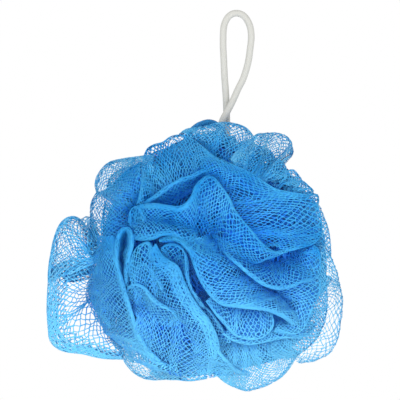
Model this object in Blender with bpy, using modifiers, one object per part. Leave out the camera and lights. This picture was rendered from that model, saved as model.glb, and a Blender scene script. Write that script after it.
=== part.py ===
"""Mesh bath pouf: one long knitted net tube, gathered at its middle and fanned out into a ball,
hung by a loop of round braided cord. Metres, +Z up, front towards -Y.
The origin is the inner top of the cord loop, where a hook carries it."""

import math

import bmesh
import bpy
import numpy as np

# Driving dimensions
BALL_HALF_WIDTH = 0.064
BALL_HALF_DEPTH = 0.057
BALL_HALF_HEIGHT = 0.068
BALL_CENTRE_BELOW_HOOK = 0.1193
BALL_CENTRE_LEFT_OF_HOOK = 0.01075
LEAF_THICKNESS = 0.0026
GATHERS_SHARE = 0.76
ROOT_SHARE = 0.68
DEEPEST_SHARE = 0.95
ROLL_DIAMETER = 0.0036
CORD_DIAMETER = 0.0032
CORD_CLEARANCE = 0.0003

# Netting, back and sides: rings by degrees from the front, and shares of the ball's half sizes
RING_ANGLES = (94.0, 117.0, 141.0, 166.0)
RING_LEAVES = (13, 12, 9, 4)
RING_SEED = 7
ANGLE_SPREAD = 5.0
TURN_SPREAD = 0.12
SIDE_TUCK = 0.87
TUCK_FROM = 0.05
TUCK_OVER = 0.4
LEAF_HALF_SPAN = 0.52
SPAN_SPREAD = 0.15
LEAF_OVERLAP = 0.46
LEAF_WAVE = 0.19
WAVE_TURNS = 1.2
LEAF_CURL = 0.10
RIM_DROOP = 0.07
RIM_RIPPLE = 0.03
RIM_RIPPLE_TURNS = 5.0
SIDE_ROOT_SPAN = 0.55
SIDE_ROOT_WAVE = 0.5
SIDE_ROOT_SHARE = 0.72
SIDE_BULGES = (3.0, 6.0)
OUTLINE_MARGIN = 0.05

# Surface of the one solid
VOXEL = 0.0014
NETTING_FACES = 10400
LEAF_STEPS_ALONG = 22
LEAF_STEPS_DEEP = 10
CORD_STEPS = 66
ROLL_STEPS = 9

BALL_CENTRE = np.array([-BALL_CENTRE_LEFT_OF_HOOK, 0.0, -BALL_CENTRE_BELOW_HOOK])
BALL_HALVES = np.array([BALL_HALF_WIDTH, BALL_HALF_DEPTH, BALL_HALF_HEIGHT])
CORD_RADIUS = CORD_DIAMETER / 2

# The leaves and the cord were laid out in millimetres on a ball of these half sizes, this far below the hook
DRAWN_HALVES = np.array([64.0, 57.0, 68.0])
DRAWN_BELOW_HOOK = 119.3
FORWARDS = np.array([0.0, -1.0, 0.0])


def leaf(rim, root, bulge):
    """A front leaf's rim and root points: across, up, and the lift off the ball's front face."""
    return {"rim": on_front(rim), "root": on_front(root), "bulge": bulge, "faces_front": True}


def on_front(points):
    """Millimetre points from the ball's centre: y = -(face(x, z) + lift)."""
    x, z, lift = np.array(points, float).T
    inside = 1.0 - (x / DRAWN_HALVES[0]) ** 2 - (z / DRAWN_HALVES[2]) ** 2
    face = DRAWN_HALVES[1] * np.sqrt(np.clip(inside, 0.0, 1.0))
    return np.stack([x, -(face + lift), z], axis=1)


FRONT_LEAVES = {
    "top_lobe": leaf(
        rim=[(-17.5, 59.5, -3), (-14.5, 62, -1), (-10, 63, 0), (-4, 64, 0), (2, 65.5, 0),
            (7.5, 65.5, 0), (12.5, 64.5, 0), (16.5, 62, -1), (19.5, 57.5, -3)],
        root=[(-12.5, 57.5, -10), (-7.5, 54.5, -12), (-0.5, 50, -12), (7, 45.5, -10), (12.5, 46, -9)],
        bulge=6,
    ),
    "left_fan": leaf(
        rim=[(-38.5, 25, 2), (-37, 32.5, 2), (-36.5, 40, 1), (-36, 47, 0), (-34, 52, -1), (-30, 55, 0),
            (-26, 56, 0), (-22.5, 58.5, 0), (-18.5, 59.5, 0), (-14, 59, 1), (-9.5, 56.5, 2),
            (-4, 52, 3), (1, 47.5, 3)],
        root=[(-36.5, 25, -4), (-34, 26, -6), (-31, 28, -7), (-27.5, 30.5, -8), (-23.5, 33.5, -9),
            (-19, 35.5, -9), (-12.5, 38.5, -8), (-4.5, 42.5, -6)],
        bulge=3,
    ),
    "cup_far": leaf(
        rim=[(-36, 25.5, 0), (-33, 27, 2), (-30, 29, 3), (-26.5, 32, 4), (-22, 35, 4), (-17, 37.5, 4),
            (-11.5, 39.5, 4), (-6.5, 42, 4), (-1.5, 43.5, 3)],
        root=[(-32.5, 24.5, -10), (-27.5, 23.5, -13), (-22.5, 23, -15), (-17.5, 23.5, -16),
            (-12.5, 26.5, -17), (-7.5, 32.5, -15)],
        bulge=-2,
    ),
    "cup_near": leaf(
        rim=[(-38, 25, 2), (-31.5, 26, 4), (-26.5, 25.5, 5), (-21.5, 24.5, 6), (-17.5, 24.5, 6),
            (-14, 26.5, 6), (-11.5, 30, 6), (-9.5, 34.5, 6), (-6.5, 38, 5), (-3, 40, 4)],
        root=[(-40, 16, -8), (-32.5, 16.5, -8), (-24.5, 16, -8), (-15.5, 12, -8), (-8.5, 8.5, -12),
            (-1.5, 4.5, -14)],
        bulge=3,
    ),
    "pleat_row": leaf(
        rim=[(-39.5, 8, 4), (-34.5, 7.5, 5), (-30, 8.5, 6), (-25.5, 10.5, 6), (-20.5, 9.5, 6),
            (-15.5, 6, 6), (-11, 0.5, 5)],
        root=[(-39.5, 16.5, -6), (-32.5, 17.5, -7), (-25, 17, -8), (-16.5, 15, -6), (-9, 11, -8)],
        bulge=4,
    ),
    "hairpin": leaf(
        rim=[(-45.5, -14.5, 3), (-48, -5.5, 6), (-48.5, 3, 7), (-47.5, 10, 8), (-45, 13.5, 8),
            (-42.5, 13, 8), (-41, 9.5, 8), (-41, 4.5, 7), (-42.5, -2, 6), (-43.5, -8, 5),
            (-43.5, -14.5, 3)],
        root=[(-45, -14.5, -9), (-46.5, -5.5, -12), (-47, 3, -14), (-46, 8.5, -14), (-44.5, 10.5, -14),
            (-43, 9.5, -14), (-42.5, 6.5, -14), (-43, 2.5, -14), (-44, -2.5, -14), (-44.5, -8, -12),
            (-44, -14.5, -9)],
        bulge=0,
    ),
    "lower_fan": leaf(
        rim=[(-49.5, 9.5, 3), (-48.5, 0.5, 5), (-47, -7.5, 6), (-45, -14.5, 7), (-42.5, -22.5, 7),
            (-40, -31.5, 7), (-37, -39.5, 6), (-32.5, -47, 4), (-26, -53, 2), (-17.5, -58.5, 0)],
        root=[(-56, 9.5, -9), (-58.5, 0.5, -9), (-60.5, -8.5, -9), (-62, -17.5, -9),
            (-60.5, -25.5, -9), (-56.5, -32.5, -9), (-51, -40.5, -9), (-45.5, -48.5, -8),
            (-40.5, -54.5, -7), (-33.5, -58.5, -6)],
        bulge=7,
    ),
    "flap_upper": leaf(
        rim=[(-59, 1.5, 0), (-61.5, 6.5, 2), (-64.5, 12, 4), (-67.5, 17, 5), (-71.5, 19, 6),
            (-75.5, 17.5, 7), (-78.5, 13, 7), (-80.5, 6.5, 8), (-82, -0.5, 8), (-83, -7.5, 7),
            (-83, -13.5, 5)],
        root=[(-58.5, 1.5, -2), (-58, -3.5, -2)],
        bulge=4,
    ),
    "flap_lower": leaf(
        rim=[(-71.5, -3.5, 2), (-78.5, -5, 4), (-82.5, -9.5, 5), (-83.5, -18, 6), (-84, -26.5, 6),
            (-83.5, -35, 6), (-82.5, -42.5, 6), (-79, -46.5, 5), (-74, -48.5, 4), (-66, -49.5, 3),
            (-57, -51.5, 2), (-46, -52, 0)],
        root=[(-59, -3.5, -3), (-60.5, -10.5, -4), (-62, -18.5, -5), (-60.5, -25.5, -5),
            (-57, -32, -5), (-52.5, -38.5, -5), (-47, -46.5, -4)],
        bulge=4,
    ),
    "flap_far": leaf(
        rim=[(-67.5, 17.5, -4), (-63.5, 19, -5), (-61, 17, -6), (-60, 9.5, -7)],
        root=[(-60, 3.5, -8), (-58, 4.5, -8)],
        bulge=1,
    ),
    "left_lobe": leaf(
        rim=[(-58.5, 31, -2), (-61, 27, 0), (-62, 21, 0), (-62, 14.5, 0), (-61.5, 8, -1), (-59, 2, -3)],
        root=[(-45.5, 25.5, -10), (-46.5, 14.5, -12), (-48.5, 4, -12)],
        bulge=5,
    ),
    "left_inner": leaf(
        rim=[(-54.5, 26.5, -1), (-55.5, 19.5, 0), (-56, 12.5, 0), (-55.5, 6, 0), (-54, 0.5, -1)],
        root=[(-43, 24.5, -10), (-42, 14.5, -12), (-44, 3.5, -12)],
        bulge=4,
    ),
    "top_left_lobe": leaf(
        rim=[(-58.5, 30.5, -1), (-59.5, 34.5, 0), (-58.5, 39, 0), (-56, 43, 0), (-52.5, 46, 0),
            (-48, 47.5, 0), (-42.5, 48.5, 0), (-36.5, 49, -1), (-30, 49.5, -4)],
        root=[(-44.5, 23.5, -8), (-41.5, 28, -9), (-38, 32, -9), (-34, 35.5, -10), (-29.5, 38.5, -11)],
        bulge=6,
    ),
    "top_left_inner": leaf(
        rim=[(-57, 31.5, 1), (-53, 33.5, 2), (-49, 36.5, 3), (-45.5, 40, 3), (-42, 43, 3),
            (-36.5, 46, 1)],
        root=[(-46.5, 23.5, -6), (-43, 25, -6), (-39.5, 27.5, -6), (-35, 31.5, -6)],
        bulge=4,
    ),
    "bottom_left_lobe": leaf(
        rim=[(-47.5, -48.5, -3), (-46, -52, -1), (-44, -56, 0), (-40.5, -59.5, 0), (-35, -61.5, 0),
            (-28.5, -62, 0), (-22.5, -61.5, 0), (-17, -61, 0)],
        root=[(-38.5, -40, -8), (-34.5, -42.5, -9), (-29.5, -45.5, -10), (-23.5, -48.5, -10),
            (-17.5, -50.5, -10)],
        bulge=5,
    ),
    "small_lobe": leaf(
        rim=[(-43, 16.5, 1), (-42, 22, 2), (-39, 24.5, 3), (-36, 22.5, 3), (-34.5, 17.5, 2)],
        root=[(-40, 10.5, -9), (-36.5, 11, -9)],
        bulge=2,
    ),
    "inner_petal": leaf(
        rim=[(-42, -6.5, 3), (-41, -1.5, 4), (-39.5, 3, 5), (-36.5, 6, 6), (-32.5, 7, 6), (-30, 3, 6)],
        root=[(-37.5, -22.5, -5), (-31.5, -24, -5), (-25, -22.5, -6)],
        bulge=4,
    ),
    "slit_left": leaf(
        rim=[(-29, 6, 5), (-26, 1, 5), (-22, -2, 6), (-18, -5, 7), (-15.5, -11, 7), (-12.5, -17.5, 7),
            (-8.5, -24, 6), (-3.5, -30, 5), (0, -36.5, 4), (2, -43.5, 3)],
        root=[(-34, -1.5, -3), (-31, -9, -3), (-27, -16.5, -3), (-23, -23, -3), (-18, -28.5, -3),
            (-13, -34, -3), (-10, -41, -3), (-9, -49.5, -3)],
        bulge=4,
    ),
    "big_band": leaf(
        rim=[(-27.5, 8, 5), (-22.5, 9, 7), (-17.5, 7, 8), (-13, 2, 9), (-10.5, -5, 9), (-7, -13, 9),
            (-2, -20, 9), (3.5, -24, 8), (10.5, -25, 8), (18.5, -26, 7), (25.5, -27, 6),
            (32.5, -30, 5), (38, -34, 4)],
        root=[(-5, 7.5, -6), (0, 1.5, -6), (6.5, -2.5, -5), (12.5, -9, -5), (21.5, -16.5, -5),
            (30, -21.5, -6), (36.5, -27, -7), (39, -32.5, -7)],
        bulge=4,
    ),
    "bag": leaf(
        rim=[(-4.5, -22, 4), (0, -28, 6), (4.5, -33.5, 7), (8.5, -38, 7), (13.5, -40.5, 7),
            (20, -41, 7), (25.5, -38.5, 6), (28.5, -34.5, 4), (28, -29.5, 0), (25.5, -25, -5)],
        root=[(0, -17.5, -8), (10, -20.5, -10), (20, -22.5, -10), (26.5, -26, -10)],
        bulge=3,
    ),
    "right_low_leaf": leaf(
        rim=[(-2, 10, -12), (2.5, 4, -5), (6.5, -0.5, 1), (11.5, -4.5, 4), (17.5, -9.5, 5),
            (23.5, -14, 6), (30, -16, 6), (36.5, -15.5, 6), (42.5, -13, 6), (48, -12, 6),
            (51.5, -9.5, 5), (52, -3.5, 4), (51.5, 2.5, 3), (48.5, 5.5, 2)],
        root=[(12.5, 1.5, -10), (21.5, -3.5, -14), (30, -4.5, -14), (37.5, -1.5, -12), (42.5, 2.5, -10)],
        bulge=3,
    ),
    "centre_leaf": leaf(
        rim=[(-8, 36, 4), (-4.5, 39, 5), (-0.5, 38.5, 6), (3, 34.5, 7), (7, 28.5, 8), (9.5, 23, 8),
            (14, 17, 8), (18.5, 12, 8), (23.5, 6, 7), (29, 2.5, 5), (35.5, 2.5, 3)],
        root=[(-9.5, 29, -6), (-9.5, 23.5, -7), (-7, 18.5, -8), (-3, 14, -8), (1, 9.5, -8),
            (4.5, 4, -6), (11.5, 0.5, -2), (19.5, -1, -2), (27.5, 1, -4)],
        bulge=4,
    ),
    "right_leaf": leaf(
        rim=[(-6, 48.5, -1), (-2, 49, 2), (2, 47.5, 4), (7, 45.5, 5), (12.5, 43, 5), (18.5, 40, 5),
            (24.5, 36, 5), (30, 33, 5), (37.5, 31.5, 4), (45, 30, 4), (49.5, 26, 4), (51.5, 21, 4),
            (52.5, 15, 4), (51.5, 9, 4), (48, 5.5, 4), (42.5, 4, 4), (36.5, 2.5, 3)],
        root=[(-6, 39.5, -6), (-1.5, 38.5, -4), (3.5, 33.5, -4), (7.5, 26, -5), (12.5, 17.5, -6),
            (17.5, 11.5, -6), (23.5, 4.5, -6)],
        bulge=5,
    ),
    "upper_right_a": leaf(
        rim=[(7, 47.5, -3), (12.5, 53.5, -3), (17.5, 57.5, -3), (20.5, 60, -1), (24, 60.5, 0),
            (27.5, 61, 0), (32, 60.5, 0), (36, 58.5, 0), (38.5, 54.5, 0), (38, 50.5, -1), (33, 47, -3)],
        root=[(11.5, 41.5, -8), (15.5, 39.5, -8), (19.5, 37.5, -8), (24.5, 35, -8)],
        bulge=4,
    ),
    "upper_right_b": leaf(
        rim=[(31, 47.5, 0), (34.5, 44.5, 1), (35, 41, 1), (32, 37.5, 0)],
        root=[(23.5, 37, -6), (25.5, 35, -6)],
        bulge=2,
    ),
    "upper_right_c": leaf(
        rim=[(34, 41.5, 0), (38, 42.5, 1), (41, 40, 1), (42.5, 37, 0), (40.5, 33.5, 0)],
        root=[(28.5, 34.5, -6), (31.5, 33, -6)],
        bulge=2,
    ),
    "upper_right_d": leaf(
        rim=[(42, 37.5, -1), (45.5, 35, 0), (48.5, 31.5, 0), (46.5, 29, 0)],
        root=[(36.5, 32.5, -6), (38.5, 31, -6)],
        bulge=2,
    ),
    "upper_right_e": leaf(
        rim=[(46.5, 31, 0), (50.5, 30, 1), (51, 25.5, 1), (49, 22.5, 0)],
        root=[(42.5, 30, -5), (44, 28, -5)],
        bulge=1,
    ),
    "right_edge": leaf(
        rim=[(47.5, 27, -3), (51.5, 24.5, -3), (54, 19, -2), (56, 13, -2), (57, 6, -2),
            (57.5, -1.5, -3)],
        root=[(43.5, 25, -10), (46.5, 15, -12), (48, 2.5, -12)],
        bulge=2,
    ),
    "right_lobe": leaf(
        rim=[(53.5, 5.5, -2), (57.5, -1, -1), (60.5, -8.5, -1), (62.5, -16.5, -1), (63.5, -23.5, -1),
            (63, -31.5, -1), (62, -38.5, -1), (60, -44.5, -1), (57.5, -48.5, -1), (53, -51.5, -1),
            (47.5, -53, -1), (42, -53.5, -2)],
        root=[(46.5, -0.5, -8), (48.5, -12.5, -8), (48.5, -22.5, -8), (46.5, -31.5, -8),
            (42.5, -39.5, -8), (36.5, -44.5, -8)],
        bulge=3,
    ),
    "right_face": leaf(
        rim=[(49.5, 4.5, -2), (53.5, -3.5, -1), (55, -13.5, -1), (55.5, -23.5, 0), (54.5, -32.5, 0),
            (51.5, -39.5, 0), (46.5, -45.5, 0), (40.5, -49, -1), (34.5, -50.5, -3)],
        root=[(42.5, -3.5, -9), (44.5, -13.5, -10), (43.5, -23.5, -10), (40.5, -31.5, -10),
            (34.5, -39.5, -9)],
        bulge=3,
    ),
    "right_dark": leaf(
        rim=[(51.5, -10.5, 1), (52, -16.5, 2), (50, -22, 3), (48, -26.5, 4), (46, -31.5, 4),
            (43.5, -36, 4), (39.5, -38.5, 4), (34.5, -38.5, 3), (28.5, -37.5, 1)],
        root=[(30.5, -13.5, -10), (34.5, -19.5, -12), (35.5, -24.5, -12), (34.5, -29.5, -12),
            (30.5, -32.5, -10)],
        bulge=3,
    ),
    "bottom_right_lobe": leaf(
        rim=[(-0.5, -58, -1), (4.5, -62.5, 0), (9.5, -65.5, 0), (15, -67.5, 0), (21, -66.5, 0),
            (27.5, -64, 0), (33.5, -60, 0), (38, -54.5, -1), (41.5, -48.5, -4)],
        root=[(1.5, -45, -8), (10.5, -46.5, -8), (20.5, -46.5, -8), (30.5, -42.5, -9)],
        bulge=4,
    ),
    "lower_band": leaf(
        rim=[(3.5, -38, 3), (8.5, -41.5, 4), (15, -43.5, 4), (21.5, -43, 4), (28.5, -41.5, 4),
            (35.5, -40.5, 4), (41.5, -41, 3), (46.5, -38.5, 1), (50.5, -33.5, -3)],
        root=[(10.5, -33.5, -6), (23.5, -35.5, -7), (35, -35.5, -6), (41.5, -32.5, -8)],
        bulge=2,
    ),
    "bottom_fan": leaf(
        rim=[(-4, -60.5, -1), (-11.5, -62, 0), (-17.5, -61.5, 0), (-24, -61.5, 0), (-29.5, -59, 1),
            (-34, -53.5, 2), (-37.5, -45.5, 4), (-40, -37.5, 4)],
        root=[(-7.5, -37.5, -3), (-12.5, -31.5, -4), (-18.5, -27, -5), (-24.5, -24.5, -6),
            (-30.5, -23, -6), (-35.5, -23.5, -6), (-38.5, -26.5, -6)],
        bulge=6,
    ),
    "bottom_mid": leaf(
        rim=[(-3.5, -29.5, 3), (-1, -37.5, 4), (1.5, -45.5, 4), (6, -51.5, 4), (11.5, -56.5, 1),
            (17.5, -59, -4)],
        root=[(-7.5, -35.5, -6), (-8, -45, -6), (-7, -53.5, -6), (-3.5, -59.5, -5), (1.5, -59.5, -4)],
        bulge=2,
    ),
    "inner_q": leaf(
        rim=[(-10.5, 8.5, 3), (-9, 2, 4), (-7.5, -3.5, 4), (-4.5, -7.5, 3), (-0.5, -9.5, 1)],
        root=[(-5, 9.5, -9), (-1, 5.5, -9), (2.5, 2.5, -8)],
        bulge=3,
    ),
    "petal_low": leaf(
        rim=[(-40.5, -11, 3), (-39.5, -6, 4), (-36.5, -3.5, 5), (-32.5, -5, 5), (-29, -9.5, 5),
            (-26, -15, 4), (-23, -21, -2)],
        root=[(-37, -15.5, -7), (-34, -15, -8), (-31.5, -17.5, -8), (-28.5, -22, -7)],
        bulge=1,
    ),
    "slit_curl": leaf(
        rim=[(-24.5, 2.5, 4), (-22, 4, 5), (-18.5, 3.5, 5), (-15, 0, 5), (-13, -5.5, 5),
            (-11.5, -12, 5), (-9, -18, 4), (-5.5, -23.5, 3)],
        root=[(-23.5, -3.5, -6), (-20.5, -5.5, -8), (-17.5, -8.5, -9), (-15.5, -13.5, -9),
            (-13, -19.5, -9), (-9.5, -24.5, -8)],
        bulge=1,
    ),
    "slit_floor": leaf(
        rim=[(-9.5, -22, -2), (-5, -25, -1), (-0.5, -30, 0), (3.5, -35.5, 0), (7.5, -42, 1)],
        root=[(-8.5, -26.5, -8), (-4.5, -31.5, -9), (-1.5, -37, -9), (2, -43.5, -8)],
        bulge=1,
    ),
    "bowl_rim": leaf(
        rim=[(-43, -15, 5), (-39.5, -13.5, 6), (-35.5, -15, 6), (-32, -19, 6), (-27.5, -23, 6),
            (-22, -25.5, 5), (-16.5, -29.5, 5)],
        root=[(-40.5, -22.5, -6), (-37, -25.5, -8), (-33, -28.5, -8), (-28, -31.5, -8),
            (-21.5, -33.5, -7)],
        bulge=0,
    ),
    "flap_crease": leaf(
        rim=[(-58.5, 1, 1), (-63.5, -1.5, 4), (-68.5, -4, 6), (-73, -7, 8), (-77.5, -10.5, 8)],
        root=[(-59, -3.5, -3), (-63, -6, -1), (-67.5, -8.5, 1), (-72.5, -12, 4)],
        bulge=1,
    ),
}

# How far the side leaves may reach in the front view, by degrees round the ball, as a share of its half sizes
OUTLINE = np.array([
    (-19, 1.06), (6, 0.91), (26, 0.88), (48, 0.86), (62, 0.93), (73, 0.93), (88, 0.96),
    (104, 0.93), (116, 0.91), (128, 0.92), (140, 1.03), (168, 0.99), (200, 0.98), (228, 1.05),
    (239, 1.05), (253, 0.94), (270, 0.86), (283, 1.02), (306, 1.01), (318, 1.09), (341, 1.06),
])
OUTLINE_START = -19

# Cord centre line from the hook point, in millimetres: across, depth, height
CORD_ROUTE = [
    (-4.2, 3.4, -83.8), (-4.5, 3.2, -74.3), (-4.7, 2.9, -64.3), (-4.8, 2.6, -53.8),
    (-4.9, 2.4, -49.8), (-5.1, 2.1, -43.3), (-5.5, 1.4, -36.3), (-6.0, 0.8, -29.8),
    (-6.4, 0.4, -20.8), (-6.7, 0.1, -13.3), (-6.4, 0.0, -5.6), (-4.8, 0.0, -1.2),
    (-2.5, 0.0, 1.0), (0.0, 0.0, 1.6), (2.7, 0.0, 0.9), (5.0, 0.0, -1.3),
    (6.8, 0.0, -5.3), (7.4, 0.0, -10.5), (6.8, -0.1, -16.3), (5.8, -0.3, -23.0),
    (3.5, -0.7, -30.8), (0.8, -1.1, -36.3), (-1.9, -1.6, -42.3), (-4.6, -2.1, -47.6),
    (-6.8, -2.2, -51.6), (-8.5, -1.6, -56.8), (-9.7, -0.8, -64.3), (-10.2, -0.3, -74.3),
    (-10.4, 0.0, -83.8),
]

# End of the net tube, rolled up beside the cord, in millimetres from the ball's centre
ROLL_ROUTE = [(-9.5, -8.0, 63.4), (-6.5, -9.0, 65.0), (-3.0, -9.5, 66.0), (0.5, -9.0, 64.8)]


def clear_scene():
    for item in list(bpy.data.objects):
        bpy.data.objects.remove(item)


def collection(name):
    group = bpy.data.collections.new(name)
    bpy.context.scene.collection.children.link(group)
    return group


def material(name, colour, roughness):
    finish = bpy.data.materials.new(name)
    finish.use_nodes = True
    shader = finish.node_tree.nodes["Principled BSDF"]
    shader.inputs["Base Color"].default_value = (*colour, 1.0)
    shader.inputs["Roughness"].default_value = roughness
    shader.inputs["Metallic"].default_value = 0.0
    return finish


def smooth_line(points, shares):
    """Catmull-Rom curve through the points, read at shares of its length from 0 to 1."""
    points = np.array(points, float)
    spans = len(points) - 1
    line = through(points, np.linspace(0.0, spans, spans * 24 + 1))
    length = np.concatenate([[0.0], np.cumsum(np.linalg.norm(np.diff(line, axis=0), axis=1))])
    return np.stack([np.interp(shares, length / length[-1], line[:, k]) for k in range(3)], axis=1)


def ring_leaves():
    """Overlapping leaves in rings round the sides and the back, each leaning over the next."""
    chance = np.random.default_rng(RING_SEED)
    leaves = []
    for angle, count in zip(RING_ANGLES, RING_LEAVES):
        for k in range(count):
            polar = math.radians(angle + chance.uniform(-ANGLE_SPREAD, ANGLE_SPREAD))
            place = k + 0.5 * (count % 2) + chance.uniform(-TURN_SPREAD, TURN_SPREAD)
            turn = 2 * math.pi * place / count
            flat = math.sin(polar)
            middle = np.array([flat * math.cos(turn), -math.cos(polar), flat * math.sin(turn)])
            leaves.append(side_leaf(middle, chance))
    return leaves


def side_leaf(middle, chance):
    """One leaf round the direction middle: rim = middle + w * along + wave * across, root further in."""
    middle = middle / np.linalg.norm(middle)
    along = np.cross(middle, chance.normal(size=3))
    along /= np.linalg.norm(along)
    across = np.cross(middle, along)
    w = np.linspace(-1.0, 1.0, 7)
    wave = LEAF_WAVE * np.sin(w * math.pi * WAVE_TURNS + chance.uniform(0.0, 6.3)) - LEAF_CURL * w**2
    span = LEAF_HALF_SPAN * chance.uniform(1.0 - SPAN_SPREAD, 1.0 + SPAN_SPREAD)
    lean = LEAF_OVERLAP / 2
    rim = middle + np.outer(w * span, along) + np.outer(wave + lean, across)
    root = middle + np.outer(w * span * SIDE_ROOT_SPAN, along) - np.outer(SIDE_ROOT_WAVE * wave + lean, across)
    rim /= np.linalg.norm(rim, axis=1, keepdims=True)
    root /= np.linalg.norm(root, axis=1, keepdims=True)
    ripple = RIM_RIPPLE * np.sin(w * RIM_RIPPLE_TURNS + chance.uniform(0.0, 6.3))
    reach = 1.0 - RIM_DROOP * w**2 + ripple
    rim = within(rim * (tuck(rim) * reach)[:, None] * DRAWN_HALVES)
    root = root * (tuck(root) * SIDE_ROOT_SHARE)[:, None] * DRAWN_HALVES
    return {"rim": rim, "root": root, "bulge": chance.uniform(*SIDE_BULGES), "faces_front": False}


def within(points):
    """Points drawn in, across and up, to where the outline less its margin lets them reach."""
    x = points[:, 0] / DRAWN_HALVES[0]
    z = points[:, 2] / DRAWN_HALVES[2]
    turn = np.degrees(np.arctan2(z, x))
    turn = np.where(turn < OUTLINE_START, turn + 360.0, turn)
    limit = np.interp(turn, OUTLINE[:, 0], OUTLINE[:, 1]) - OUTLINE_MARGIN
    factor = np.minimum(1.0, limit / np.maximum(np.hypot(x, z), 1e-6))
    return points * np.stack([factor, np.ones(len(points)), factor], axis=1)


def tuck(direction):
    """Radius factor: SIDE_TUCK beside the front leaves, growing to 1 towards the back."""
    share = np.clip((direction[:, 1] - TUCK_FROM) / TUCK_OVER, 0.0, 1.0)
    return SIDE_TUCK + (1.0 - SIDE_TUCK) * share * share * (3.0 - 2.0 * share)


def leaf_surface(spec):
    """P(u, v) = Catmull-Rom in v through deep(u), root(u), belly(u) and rim(u).
    deep lies inside the packed gathers, and belly is half way out, pushed by the bulge:
    towards the front in the front leaves, and away from the ball's centre in the others."""
    u = np.linspace(0.0, 1.0, LEAF_STEPS_ALONG)
    rim = smooth_line(spec["rim"], u)
    root = smooth_line(spec["root"], u)
    share = np.linalg.norm(root / DRAWN_HALVES, axis=1, keepdims=True)
    deep = root * np.minimum(ROOT_SHARE / share, DEEPEST_SHARE)
    middle = (rim + root) / 2
    outwards = middle / np.linalg.norm(middle, axis=1, keepdims=True)
    belly = middle + spec["bulge"] * (FORWARDS if spec["faces_front"] else outwards)
    surface = through(np.stack([deep, root, belly, rim]), np.linspace(0.0, 3.0, LEAF_STEPS_DEEP))
    return on_ball(surface)


def on_ball(drawn):
    """Drawn millimetres from the ball's centre, as metres from the hook."""
    return BALL_CENTRE + drawn / DRAWN_HALVES * BALL_HALVES


def through(stations, place):
    """Catmull-Rom through the stations (first index) at each place from 0 to their last number."""
    before = 2 * stations[:1] - stations[1:2]
    after = 2 * stations[-1:] - stations[-2:-1]
    padded = np.concatenate([before, stations, after])
    first = np.minimum(place.astype(int), len(stations) - 2)
    t = (place - first).reshape([-1] + [1] * (stations.ndim - 1))
    a, b, c, d = (padded[first + k] for k in range(4))
    line = 2 * b + (c - a) * t + (2 * a - 5 * b + 4 * c - d) * t**2 + (3 * b - a - 3 * c + d) * t**3
    return 0.5 * line


def sheet(name, surface, group):
    """A grid of points made into a sheet of LEAF_THICKNESS."""
    along, deep = surface.shape[:2]
    index = np.arange(along * deep).reshape(along, deep)
    corners = (index[:-1, :-1], index[1:, :-1], index[1:, 1:], index[:-1, 1:])
    faces = np.stack(corners, axis=-1).reshape(-1, 4)
    mesh = bpy.data.meshes.new(name)
    mesh.from_pydata(surface.reshape(-1, 3).tolist(), [], faces.tolist())
    item = bpy.data.objects.new(name, mesh)
    group.objects.link(item)
    wall = item.modifiers.new("Wall", "SOLIDIFY")
    wall.thickness = LEAF_THICKNESS
    wall.offset = 0.0
    return item


def tube(name, points, radius, group, sides=2):
    """A round tube with filled ends on a POLY spline."""
    line = bpy.data.curves.new(name, "CURVE")
    line.dimensions = "3D"
    line.bevel_depth = radius
    line.bevel_resolution = sides
    line.use_fill_caps = True
    line.render_resolution_u = 0
    spline = line.splines.new("POLY")
    spline.points.add(len(points) - 1)
    flat = np.column_stack([points, np.ones(len(points))])
    spline.points.foreach_set("co", flat.ravel())
    item = bpy.data.objects.new(name, line)
    group.objects.link(item)
    return item


def as_mesh(item, name):
    """The evaluated shape as a plain mesh in world space, with its doubled points welded."""
    shape = item.evaluated_get(bpy.context.evaluated_depsgraph_get())
    mesh = bpy.data.meshes.new_from_object(shape)
    mesh.name = name
    mesh.transform(item.matrix_world)
    work = bmesh.new()
    work.from_mesh(mesh)
    bmesh.ops.remove_doubles(work, verts=work.verts, dist=0.00001)
    bmesh.ops.recalc_face_normals(work, faces=work.faces)
    work.to_mesh(mesh)
    work.free()
    return mesh


def joined(name, meshes, group):
    work = bmesh.new()
    for mesh in meshes:
        work.from_mesh(mesh)
    mesh = bpy.data.meshes.new(name)
    work.to_mesh(mesh)
    work.free()
    item = bpy.data.objects.new(name, mesh)
    group.objects.link(item)
    return item


def keep_largest_shell(mesh):
    """Leaves the outer skin alone: small loose shells and closed bubbles inside go."""
    work = bmesh.new()
    work.from_mesh(mesh)
    left = set(work.verts)
    shells = []
    while left:
        shell = set()
        edge_of = [left.pop()]
        while edge_of:
            vert = edge_of.pop()
            shell.add(vert)
            near = [e.other_vert(vert) for e in vert.link_edges]
            near = [v for v in near if v in left]
            left.difference_update(near)
            edge_of.extend(near)
        shells.append(shell)
    shells.sort(key=len)
    for shell in shells[:-1]:
        bmesh.ops.delete(work, geom=list(shell), context="VERTS")
    work.to_mesh(mesh)
    work.free()


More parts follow.
